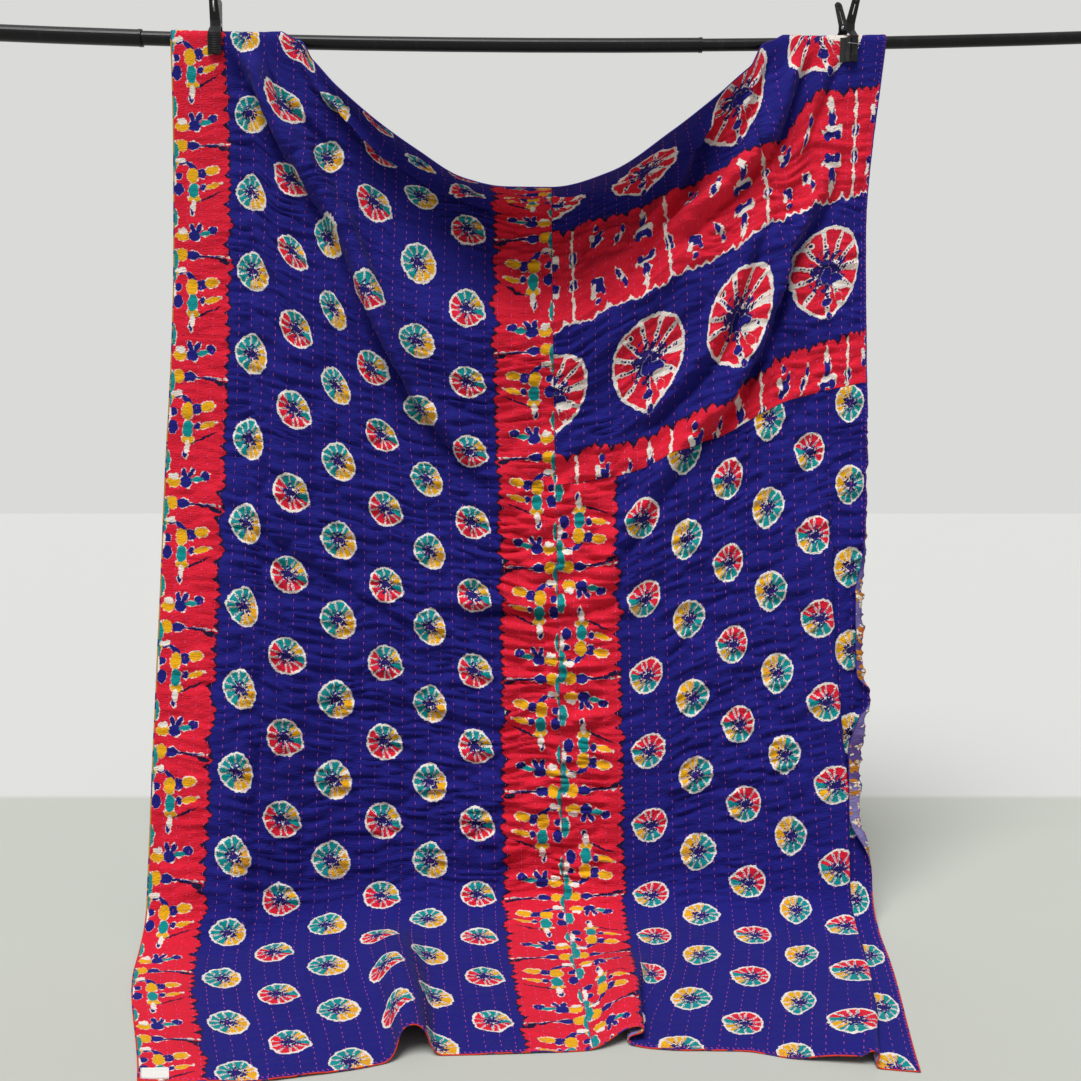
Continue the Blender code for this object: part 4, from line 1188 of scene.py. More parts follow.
MATH = "ShaderNodeMath"
TIMES = Node(MATH, {"operation": "MULTIPLY"})
PLUS = Node(MATH, {"operation": "ADD"})
MINUS = Node(MATH, {"operation": "SUBTRACT"})
OVER = Node(MATH, {"operation": "DIVIDE"})
TIMES_PLUS = Node(MATH, {"operation": "MULTIPLY_ADD"})
LEAST = Node(MATH, {"operation": "MINIMUM"})
MOST = Node(MATH, {"operation": "MAXIMUM"})
POWER = Node(MATH, {"operation": "POWER"})
FRACTION = Node(MATH, {"operation": "FRACT"})
ABSOLUTE = Node(MATH, {"operation": "ABSOLUTE"})
BELOW = Node(MATH, {"operation": "LESS_THAN"})
ABOVE = Node(MATH, {"operation": "GREATER_THAN"})
WRAP = Node(MATH, {"operation": "WRAP"})
ARCTAN = Node(MATH, {"operation": "ARCTAN2"})
COSINE = Node(MATH, {"operation": "COSINE"})
VECTOR = "ShaderNodeVectorMath"
STRETCH = Node(VECTOR, {"operation": "MULTIPLY"})
OFFSET = Node(VECTOR, {"operation": "SUBTRACT"})
SHIFT = Node(VECTOR, {"operation": "MULTIPLY_ADD"})
SCALE = Node(VECTOR, {"operation": "SCALE"}, sockets=(0, "Scale"))
LENGTH = Node(VECTOR, {"operation": "LENGTH"}, "Value")
SPLIT = Node("ShaderNodeSeparateXYZ", out=slice(None))
JOIN = Node("ShaderNodeCombineXYZ")
MAPPING = Node("ShaderNodeMapping", {"vector_type": "TEXTURE"})
MIX = Node("ShaderNodeMix", sockets=(0, 2, 3))
BLEND = Node("ShaderNodeMix", {"data_type": "RGBA"}, 2, (0, 6, 7))
RANGE = Node("ShaderNodeMapRange")
CURVE = Node("ShaderNodeFloatCurve")
RAMP = Node("ShaderNodeValToRGB")
PLACE = Node("ShaderNodeTexCoord", out="Object")
CLOTH = Node("ShaderNodeUVMap", {"uv_map": "cloth"})
NOISE = "ShaderNodeTexNoise"
LINE_NOISE = Node(NOISE, {"noise_dimensions": "1D"}, sockets=("W", "Scale", "Detail"))
FLAT_NOISE = Node(NOISE, {"noise_dimensions": "2D"}, sockets=("Vector", "Scale", "Detail"))
SOLID_NOISE = Node(NOISE, sockets=("Vector", "Scale", "Detail"))
VORONOI = "ShaderNodeTexVoronoi"
STEPS = Node(VORONOI, {"voronoi_dimensions": "1D"}, "Distance", ("W", "Scale", "Randomness"))
GAPS = Node(VORONOI, {"voronoi_dimensions": "1D", "feature": "DISTANCE_TO_EDGE"}, 0,
            ("W", "Scale", "Randomness"))
SCATTER = Node(VORONOI, {"voronoi_dimensions": "2D"}, 0, ("Vector", "Scale", "Randomness"))
RIBS = Node("ShaderNodeTexWave", {"bands_direction": "DIAGONAL"}, "Fac")
BUMP = Node("ShaderNodeBump")
SHADER = Node("ShaderNodeBsdfPrincipled")
SURFACE = Node("ShaderNodeOutputMaterial", out=None)
DIFFUSE_RAY = Node("ShaderNodeLightPath", out="Is Diffuse Ray")
BACKGROUND = Node("ShaderNodeBackground")
WORLD = Node("ShaderNodeOutputWorld", out=None)


def linear(hex_colour: str) -> tuple[float, float, float, float]:
    """The linear colour of an sRGB hex value such as "2E2A8C"."""
    parts = [int(hex_colour[i:i + 2], 16) / 255.0 for i in (0, 2, 4)]
    return (*(p / 12.92 if p <= 0.04045 else ((p + 0.055) / 1.055) ** 2.4 for p in parts), 1.0)


class Ink(str, Enum):
    """The printer's colours."""

    INDIGO = "1E1C78"
    RED = "DA1F37"
    YELLOW = "E6A917"
    TEAL = "0C8C8E"
    WHITE = "E9E1D8"
    DARK = "1A1233"


@dataclass(frozen=True)
class Drop:
    """One printed drop, in millimetres: its middle, half its sizes, and its turn in degrees."""

    x: float
    y: float
    half_x: float
    half_y: float
    turn: float = 0.0


Drops = dict[Ink, tuple[Drop, ...]]
DROP_SPREAD = 1.7  # millimetres, of a drop's dye
TOOTH_MM = 17.0  # from one tooth of a jagged edge to the next


class Graph:
    """A material's or a world's node tree, and the ways in which prints and bumps are drawn in it."""

    def __init__(self, owner: bpy.types.Material | bpy.types.World) -> None:
        """Starts an empty node tree.

        Args:
            owner: What the tree belongs to.
        """
        owner.use_nodes = True
        self.owner = owner
        self.tree = owner.node_tree
        self.tree.nodes.clear()

    def add(self, kind: Node, inputs: Sequence | dict[Any, Any] = (), out: int | str | None = None,
            **settings: Any) -> Socket | list[Socket] | None:
        """Adds one node with its settings and links.

        Args:
            kind: Its kind.
            inputs: Values or sockets, in the kind's order or as {socket name or number: value}.
                A string is a hex colour.
            out: Which output to return, where it isn't the one that the kind says.
            **settings: The node's own properties, past those of its kind.

        Returns:
            The chosen output socket, if any, or all of them where the node takes something apart.
        """
        node = self.tree.nodes.new(kind.type)
        for name, value in {**kind.settings, **settings}.items():
            setattr(node, name, value)
        for key, value in inputs.items() if isinstance(inputs, dict) else zip(kind.sockets, inputs):
            if isinstance(value, bpy.types.NodeSocket):
                self.tree.links.new(value, node.inputs[key])
            else:
                node.inputs[key].default_value = linear(value) if isinstance(value, str) else value
        out = kind.out if out is None else out
        return None if out is None else node.outputs[out]

    def drops(self, place: Socket, drops: Iterable[Drop], spread: float = 0.0) -> Socket:
        """Signed distance in millimetres to the nearest of some printed drops.

        Args:
            place: Where on the print, in millimetres.
            drops: The drops.
            spread: How far their dye has spread, in millimetres.

        Returns:
            A distance that is negative inside a drop.
        """
        nearest = None
        for drop in drops:
            local = self.add(MAPPING, {
                "Vector": place,
                "Location": (drop.x, drop.y, 0.0),
                "Rotation": (0.0, 0.0, math.radians(drop.turn)),
                "Scale": (drop.half_x, drop.half_y, 1.0),
            })
            size = min(drop.half_x, drop.half_y)
            far = self.add(TIMES_PLUS, (self.add(LENGTH, (local,)), size, -size - spread))
            nearest = far if nearest is None else self.add(LEAST, (nearest, far))
        return nearest

    def motif(self, ground: Socket, place: Socket, motif: Drops, halo: float,
              shown: Socket | float) -> Socket:
        """Prints drops over a ground, each with the undyed edge that its resist leaves.

        Args:
            ground: The colour under them.
            place: Where on the print, in millimetres.
            motif: The drops of each ink, in the order in which the inks lie.
            halo: Width of the undyed edge, in millimetres.
            shown: 1 where the motif is printed.

        Returns:
            The printed colour.
        """
        near = {ink: self.drops(place, drops, DROP_SPREAD) for ink, drops in motif.items()}
        edge = None
        for far in (far for ink, far in near.items() if ink is not Ink.DARK):
            edge = far if edge is None else self.add(LEAST, (edge, far))
        patchy = self.add(FLAT_NOISE, (place, 0.09, 1.0))
        width = self.add(TIMES_PLUS, (patchy, 4.5 * halo, -1.85 * halo))
        inside = self.add(TIMES, (self.dyed(self.add(MINUS, (edge, width))), shown))
        colour = self.add(BLEND, (inside, ground, Ink.WHITE))
        for ink, far in near.items():
            colour = self.add(BLEND, (self.add(TIMES, (self.dyed(far), shown)), colour, ink))
        return colour

    def cloth_mm(self) -> Socket:
        """Where on the flat cloth, in millimetres."""
        return self.add(SCALE, (self.add(CLOTH), 1.0 / MM))

    def roughened(self, place: Socket, scale: float, distance: float) -> Socket:
        """Moves a place about at random, so that what is printed there has an uneven edge.

        Args:
            place: Where on the print, in millimetres.
            scale: Waves for each millimetre.
            distance: The furthest that it moves, in millimetres.

        Returns:
            The moved place.
        """
        noise = self.add(FLAT_NOISE, (place, scale, 1.0), "Color")
        shift = self.add(OFFSET, (noise, (0.5, 0.5, 0.5)))
        return self.add(SHIFT, (shift, (2.0 * distance,) * 3, place))

    def jagged(self, along: Socket, seed: float) -> tuple[Socket, Socket]:
        """How a flame-like edge between two dyes wanders, in millimetres.

        Args:
            along: Where along the edge.
            seed: Makes one edge unlike another.

        Returns:
            How far out the dye reaches, with rounded tips and sharp notches, and how far out the
            dark fringe that fills those notches does.
        """
        tooth = self.add(TIMES_PLUS, (along, 1.0 / TOOTH_MM, seed))
        bite = self.add(POWER, (self.add(STEPS, (tooth, 1.0, 0.8)), 1.4))
        slow = self.add(TIMES_PLUS, (along, 0.022, seed))
        noise = self.add(LINE_NOISE, (slow, 1.0, 1.0))
        wander = self.add(TIMES_PLUS, (noise, 22.0, -8.0))
        fringe = self.add(TIMES_PLUS, (bite, -9.0, self.add(PLUS, (wander, 2.0))))
        return self.add(TIMES_PLUS, (bite, -23.0, wander)), fringe

    def dyed(self, far: Socket, blur: float = 0.9) -> Socket:
        """1 inside a printed edge and 0 outside, with the dye's spread of `blur` millimetres between."""
        return self.add(TIMES_PLUS, (far, -1.0 / blur, 0.5), use_clamp=True)

    def surface(self, colour: Socket | str, roughness: Socket | float, height: Socket, depth: float,
                constants: dict[str, float]) -> bpy.types.Material:
        """Ends the material with a shader and a bump.

        Args:
            colour: Base colour.
            roughness: Roughness.
            height: Bump height from 0 to 1.
            depth: What a height of 1 stands for, in metres.
            constants: Other values set on the shader's own sockets.

        Returns:
            The finished material.
        """
        normal = self.add(BUMP, {"Strength": 1.0, "Distance": depth, "Height": height})
        sockets = {"Base Color": colour, "Roughness": roughness, "Normal": normal}
        shader = self.add(SHADER, {**sockets, **constants})
        self.add(SURFACE, {"Surface": shader})
        return self.owner


@dataclass(frozen=True)
class Medallion:
    """A tied-and-dyed medallion: outline, spokes and the inks between them.

    Its outline gives the radius, as a share of `size` millimetres, at turns counted from the left
    through the bottom, the right and the top.
    """

    size: float
    outline: tuple[tuple[float, float], ...]
    inks: tuple[tuple[float, Ink], ...]
    spokes: float
    thick: float  # half of a spoke's width, in millimetres
    rim: float  # where the rim starts, as a share of the radius

    def edge(self, graph: Graph, turn: Socket) -> Socket:
        """Draws its outline.

        Args:
            graph: The material.
            turn: How far round, from 0 to 1.

        Returns:
            Its radius there, as a share of its size.
        """
        socket = graph.add(CURVE, (1.0, turn))
        mapping = socket.node.mapping
        points = mapping.curves[0].points
        points[0].location, points[-1].location = self.outline[0], self.outline[-1]
        for point in self.outline[1:-1]:
            points.new(*point)
        mapping.update()
        return socket

    def ink(self, graph: Graph, turn: Socket) -> Socket:
        """Lays its inks round it.

        Args:
            graph: The material.
            turn: How far round, from 0 to 1.

        Returns:
            The ink between its spokes there.
        """
        socket = graph.add(RAMP, (turn,))
        ramp = socket.node.color_ramp
        ramp.interpolation = "CONSTANT"
        ramp.elements.remove(ramp.elements[1])
        ramp.elements[0].color = linear(self.inks[0][1])
        for start, ink in self.inks[1:]:
            ramp.elements.new(start).color = linear(ink)
        return socket


LEAF_MEDALLION = Medallion(
    50.0,
    ((0.0, 0.72), (0.08, 0.68), (0.16, 0.70), (0.25, 0.76), (0.34, 0.80), (0.42, 0.76), (0.50, 0.70),
     (0.58, 0.67), (0.66, 0.70), (0.735, 0.79), (0.80, 0.74), (0.90, 0.72), (1.0, 0.72)),
    ((0.0, Ink.TEAL), (0.215, Ink.YELLOW), (0.575, Ink.WHITE), (0.592, Ink.YELLOW), (0.63, Ink.TEAL)),
    11.0, 1.6, 0.89,
)
ROSE_MEDALLION = Medallion(
    50.0,
    ((0.0, 0.68), (0.10, 0.70), (0.20, 0.74), (0.30, 0.75), (0.38, 0.76), (0.435, 0.82), (0.49, 0.72),
     (0.58, 0.68), (0.68, 0.70), (0.78, 0.73), (0.88, 0.71), (1.0, 0.68)),
    ((0.0, Ink.RED), (0.43, Ink.TEAL), (0.535, Ink.YELLOW), (0.645, Ink.TEAL), (0.86, Ink.RED)),
    12.0, 1.6, 0.89,
)
GREAT_MEDALLION = Medallion(
    104.0,
    ((0.0, 0.72), (0.06, 0.74), (0.125, 0.78), (0.19, 0.80), (0.245, 0.88), (0.30, 0.80), (0.375, 0.73),
     (0.44, 0.71), (0.50, 0.71), (0.56, 0.74), (0.625, 0.80), (0.69, 0.82), (0.75, 0.83), (0.81, 0.82),
     (0.875, 0.78), (0.94, 0.74), (1.0, 0.72)),
    ((0.0, Ink.RED), (0.47, Ink.WHITE), (0.50, Ink.RED)),
    11.0, 4.6, 0.925,
)

# Where a medallion's parts end, as shares of its radius.
MEDALLION_CORE = 0.27
MEDALLION_HEART = 0.52
MEDALLION_VEINS = 0.80

# One repeat of the selvedge border: x from the cloth's own edge in towards the field, y along it.
BORDER_DROPS: Drops = {
    Ink.INDIGO: (
        Drop(57.5, -6.5, 4.8, 5.2), Drop(36.5, 46, 2.4, 6), Drop(41, 101, 10.5, 9.5),
        Drop(36.5, 84, 3.6, 7, -14), Drop(50, 84, 3.2, 7, 30), Drop(78, 88, 8, 7), Drop(37, -98, 11, 7.5),
        Drop(55, -97, 10, 0.5), Drop(14, -61, 6.2, 3), Drop(34.5, -54, 9.5, 3.8, 42),
        Drop(55, -38, 8.8, 9.2), Drop(9.5, -31, 5.6, 6), Drop(10, -2, 8, 11.5),
    ),
    Ink.YELLOW: (
        Drop(77, -9, 11, 4.2, -18), Drop(40, 20, 9.5, 6.5), Drop(17, 102, 11, 8.5), Drop(16, -98, 9.5, 11),
        Drop(37, -33, 9.5, 14), Drop(76, -44, 11.5, 7.5, -16), Drop(5, -62, 4, 5),
    ),
    Ink.TEAL: (
        Drop(39, 0, 8.5, 14), Drop(62, 95, 8, 3.4, -6), Drop(-1, -85, 9, 19), Drop(0, -52, 4, 10),
        Drop(0, 63, 6.5, 17),
    ),
    Ink.WHITE: (
        Drop(39, 34, 3.4, 9), Drop(18, 92, 6, 4), Drop(14, -65, 7, 3.5), Drop(1, -24, 2.4, 9),
    ),
    Ink.DARK: (
        Drop(71, 15.5, 7.5, 0.6, -26), Drop(82, -94, 5, 0.3, 6), Drop(101, -88, 8, 3, 14),
    ),
}
# One repeat of the end panel's bands: x along the band, y in from its torn edge.
BAND_DROPS: Drops = {
    Ink.INDIGO: (
        Drop(0, 23, 4.4, 5.6), Drop(0, 57, 10, 11), Drop(9, 45, 3.4, 7, 20), Drop(-6, 66, 5.5, 6, 30),
        Drop(44, 64, 2.6, 8, 22), Drop(56, 43, 3.0, 7, 12), Drop(100, 48, 5.4, 16), Drop(100, 80, 13.5, 5),
        Drop(89, 87, 5, 5.5), Drop(112, 86, 5, 5), Drop(150, 79, 5.8, 10.5),
    ),
    Ink.WHITE: (
        Drop(-9, 48, 3, 7, -20), Drop(52, 54, 2.2, 4), Drop(100, 25, 2.6, 9), Drop(100, 70, 10, 4.5),
        Drop(149, 52, 0.4, 15),
    ),
}
# Spots inside a great medallion, from its middle: x to the right, y down.
GREAT_DROPS: Drops = {
    Ink.INDIGO: (
        Drop(13, 19, 15, 11, 10), Drop(-4, 8, 9, 15, 15), Drop(-3, 60, 8, 6), Drop(2, 88, 4, 6),
    ),
    Ink.RED: (
        Drop(23, 55, 6, 8, -20),
    ),
    Ink.WHITE: (
        Drop(-37, -56, 4.6, 4.6), Drop(26, 33, 14, 6, 20),
    ),
    Ink.DARK: (
        Drop(-37, -56, 1.9, 2.2),
    ),
}


@dataclass(frozen=True)
class PrintedCotton:
    """Washed plain-weave cotton: matt, with slubs in its threads and a little fluff that catches light."""

    thread_mm: float = 1.8  # a real thread is 0.35 mm apart, which is too fine to show
    thread_height: float = 0.00026
    slub: float = 0.26
    pucker_across: float = 0.014
    pucker_down: float = 0.0045
    pucker_height: float = 0.0042

    def finish(self, graph: Graph, colour: Socket) -> bpy.types.Material:
        """Adds the weave under a printed colour.

        Args:
            graph: The material so far.
            colour: The printed colour.

        Returns:
            The finished material.
        """
        add = graph.add
        place = add(PLACE)
        x, y, z = add(SPLIT, (place,))
        downward = add(PLUS, (y, z))
        threads = []
        for across_share, down_share in ((1.0, 0.10), (0.10, 1.0)):
            wide = 1.0 / (self.thread_mm * MM)
            spot = add(JOIN, (
                add(TIMES, (x, wide * across_share)),
                add(TIMES, (downward, wide * down_share)),
                0.0,
            ))
            threads.append(add(FLAT_NOISE, (spot, 1.0, 2.0)))
        weave = add(PLUS, threads)
        patches = add(SOLID_NOISE, (place, 14.0, 3.0))
        shade = add(TIMES_PLUS, (weave, self.slub, 1.0 - self.slub))
        shade = add(TIMES_PLUS, (patches, 0.24, add(PLUS, (shade, -0.12))))
        worn = add(SCALE, (colour, shade))
        rough = add(TIMES_PLUS, (weave, 0.10, 0.76))
        waves = (1.0 / self.pucker_across, 1.0 / self.pucker_down, 0.0)
        spread = add(STRETCH, (add(CLOTH), waves))
        pucker = add(FLAT_NOISE, (spread, 1.0, 2.0))
        pucker = add(ABSOLUTE, (add(MINUS, (pucker, 0.5)),))
        rise = add(TIMES, (pucker, self.pucker_height))
        rise = add(TIMES_PLUS, (weave, self.thread_height, rise))
        return graph.surface(worn, rough, rise, 1.0, {
            "Sheen Weight": 0.03, "Sheen Roughness": 0.45, "Specular IOR Level": 0.13,
        })


@dataclass(frozen=True)
class IndigoPrint(PrintedCotton):
    """Cotton printed indigo with small medallions between two red borders."""

    column_mm: float = 95.0
    row_mm: float = 160.0
    first_mm: tuple[float, float] = (164.0, 95.0)
    border_mm: float = 112.0
    width_mm: float = 808.0
    border_first_mm: float = 165.0
    border_repeat_mm: float = 240.0
    mirrored_shift_mm: float = 38.0

    def build(self) -> bpy.types.Material:
        """Makes the material.

        Returns:
            The finished material.
        """
        graph = Graph(bpy.data.materials.new("printed_cotton_indigo"))
        flat = graph.cloth_mm()
        place = graph.roughened(graph.roughened(flat, 0.10, 2.6), 0.42, 1.7)
        across, down, _ = graph.add(SPLIT, (place,))
        colour = self.borders(graph, self.medallions(graph, across, down), across, down)
        return self.finish(graph, colour)

    def medallions(self, graph: Graph, across: Socket, down: Socket) -> Socket:
        """Prints the indigo field: medallions of two kinds, in columns that step by half a repeat.

        Args:
            graph: The material.
            across: Millimetres across the cloth.
            down: Millimetres down it.

        Returns:
            The printed colour.
        """
        add = graph.add
        start = add(MINUS, (across, self.first_mm[0]))
        pair = add(WRAP, (start, 1.5 * self.column_mm, -0.5 * self.column_mm))
        rose = add(ABOVE, (pair, 0.5 * self.column_mm))
        x = add(TIMES_PLUS, (rose, -self.column_mm, pair))
        shift = add(TIMES_PLUS, (rose, -0.5 * self.row_mm, down))
        shift = add(MINUS, (shift, self.first_mm[1]))
        y = add(WRAP, (shift, 0.5 * self.row_mm, -0.5 * self.row_mm))
        place = add(JOIN, (x, y, 0.0))
        return medallion(graph, Ink.INDIGO, place, (LEAF_MEDALLION, ROSE_MEDALLION), rose)

    def borders(self, graph: Graph, ground: Socket, across: Socket, down: Socket) -> Socket:
        """Prints red borders down both sides, the second a mirror of the first.

        Args:
            graph: The material.
            ground: The colour between them.
            across: Millimetres across the cloth.
            down: Millimetres down it.

        Returns:
            The printed colour.
        """
        add = graph.add
        middle = self.width_mm / 2
        far = add(ABSOLUTE, (add(MINUS, (across, middle)),))
        x = add(MINUS, (middle, far))
        mirrored = add(ABOVE, (across, middle))
        y = add(MINUS, (down, self.border_first_mm))
        y = add(TIMES_PLUS, (mirrored, -self.mirrored_shift_mm, y))
        y = add(WRAP, (y, 0.5 * self.border_repeat_mm, -0.5 * self.border_repeat_mm))
        past = add(MINUS, (x, self.border_mm))
        edge, fringe = graph.jagged(down, 3.0)
        dark = graph.dyed(add(MINUS, (past, fringe)), 1.6)
        colour = add(BLEND, (dark, ground, Ink.DARK))
        red = graph.dyed(add(MINUS, (past, edge)), 2.6)
        colour = add(BLEND, (red, colour, Ink.RED))
        return graph.motif(colour, add(JOIN, (x, y, 0.0)), BORDER_DROPS, 1.6, red)


def medallion(graph: Graph, ground: Socket | str, place: Socket, kinds: Sequence[Medallion],
              second: Socket | None = None) -> Socket:
    """Prints a medallion about the origin, of the second kind where `second` is 1.

    Args:
        graph: The material.
        ground: The colour under it.
        place: Where from its middle, in millimetres.
        kinds: One kind, or two that differ in outline and inks.
        second: Which kind it is, where there are two.

    Returns:
        The printed colour.
    """
    add = graph.add
    first = kinds[0]
    size, spokes, thick = first.size, first.spokes, first.thick
    x, y, _ = add(SPLIT, (place,))
    radius = add(LENGTH, (place,))
    turn = add(ARCTAN, (add(TIMES, (y, -1.0)), x))
    turn = add(TIMES_PLUS, (turn, 0.5 / math.pi, 0.5))
    edge, inks = first.edge(graph, turn), first.ink(graph, turn)
    if second is not None:
        edge = add(MIX, (second, edge, kinds[1].edge(graph, turn)))
        inks = add(BLEND, (second, inks, kinds[1].ink(graph, turn)))
    share = add(OVER, (radius, add(TIMES, (edge, size))))
    disc = graph.dyed(add(TIMES_PLUS, (share, size, -size)))
    colour = add(BLEND, (disc, ground, Ink.WHITE))

    wheel = add(TIMES_PLUS, (turn, spokes, 0.4))
    gap = add(GAPS, (wheel, 1.0, 0.75))
    gap = add(TIMES, (gap, add(TIMES, (radius, 2.0 * math.pi / spokes))))
    segment = graph.dyed(add(MINUS, (thick, gap)))
    rim = graph.dyed(add(TIMES_PLUS, (share, size, -first.rim * size)))
    inked = add(TIMES, (add(TIMES, (segment, rim)), add(ABOVE, (share, MEDALLION_CORE))))
    colour = add(BLEND, (inked, colour, inks))

    veins = add(FLAT_NOISE, (place, 10.0 / size, 2.0))
    heart = add(ABOVE, (veins, add(TIMES_PLUS, (share, 0.50, 0.29))))
    heart = add(TIMES, (heart, add(BELOW, (share, MEDALLION_HEART))))
    ticks = add(TIMES_PLUS, (radius, 1.0 / (0.07 * size), veins))
    broken = add(BELOW, (add(FRACTION, (ticks,)), 0.62))
    vein = add(TIMES, (add(BELOW, (gap, 0.45 * thick)), broken))
    vein = add(TIMES, (vein, add(BELOW, (share, MEDALLION_VEINS))))
    dark = add(TIMES, (add(MOST, (vein, heart)), disc))
    return add(BLEND, (dark, colour, "241C66"))


@dataclass(frozen=True)
class EndPrint(PrintedCotton):
    """The printed end of the same cloth: great medallions between red bands with blue drops."""

    column_mm: float = 200.0
    row_mm: float = 477.0
    first_mm: tuple[float, float] = (1400.0, 208.0)
    upper_band_mm: tuple[float, float] = (440.0, 106.0)
    lower_band_mm: float = 823.0
    drops_first_mm: float = 1300.0
    drops_mm: tuple[float, float] = (178.0, -22.0)  # the drops' repeat, from its end to its start

    def build(self) -> bpy.types.Material:
        """Makes the material.

        Returns:
            The finished material.
        """
        graph = Graph(bpy.data.materials.new("printed_cotton_end"))
        add = graph.add
        flat = graph.cloth_mm()
        place = graph.roughened(graph.roughened(flat, 0.07, 3.5), 0.40, 1.7)
        across, down, _ = add(SPLIT, (place,))
        x = add(MINUS, (across, self.first_mm[0]))
        x = add(WRAP, (x, 0.5 * self.column_mm, -0.5 * self.column_mm))
        y = add(MINUS, (down, self.first_mm[1]))
        y = add(WRAP, (y, 0.5 * self.row_mm, -0.5 * self.row_mm))
        place = add(JOIN, (x, y, 0.0))
        colour = medallion(graph, Ink.INDIGO, place, (GREAT_MEDALLION,))
        colour = graph.motif(colour, place, GREAT_DROPS, 0.4, 1.0)
        colour = self.bands(graph, colour, across, down)
        return self.finish(graph, colour)

    def bands(self, graph: Graph, ground: Socket, across: Socket, down: Socket) -> Socket:
        """Prints red bands across the cloth, ragged along their edges, with rows of drops in them.

        Args:
            graph: The material.
            ground: The colour between them.
            across: Millimetres across the cloth.
            down: Millimetres down it.

        Returns:
            The printed colour.
        """
        add = graph.add
        middle, half = self.upper_band_mm
        far = add(MINUS, (down, middle))
        below = add(ABOVE, (far, 0.0))
        upper = add(MINUS, (half, add(ABSOLUTE, (far,))))
        lower = add(MINUS, (down, self.lower_band_mm))
        is_lower = add(ABOVE, (lower, -60.0))
        y = add(MIX, (is_lower, upper, lower))
        x = add(WRAP, (add(MINUS, (across, self.drops_first_mm)), *self.drops_mm))
        out = add(TIMES, (y, -1.0))
        edge, fringe = graph.jagged(across, 8.0)
        fringe = graph.dyed(add(MINUS, (out, fringe)), 1.6)
        pale = add(TIMES, (below, add(MINUS, (1.0, is_lower))))
        rim = add(BLEND, (pale, Ink.DARK, Ink.WHITE))
        colour = add(BLEND, (fringe, ground, rim))
        red = graph.dyed(add(MINUS, (out, edge)), 2.2)
        colour = add(BLEND, (red, colour, Ink.RED))
        return graph.motif(colour, add(JOIN, (x, y, 0.0)), BAND_DROPS, 2.3, red)


@dataclass(frozen=True)
class Flower:
    """One kind of small flower: sizes in millimetres, its inks, and the share of its places left empty."""

    apart: float
    size: float
    petals: float
    ink: str
    heart: str
    empty: float


PAISLEY_BODY = (Drop(0, 10, 18, 21), Drop(-5, -12, 10, 16, -24), Drop(-11, -26, 4.5, 10, -40))
PAISLEY_EYE = (Drop(3, 11, 6, 8),)


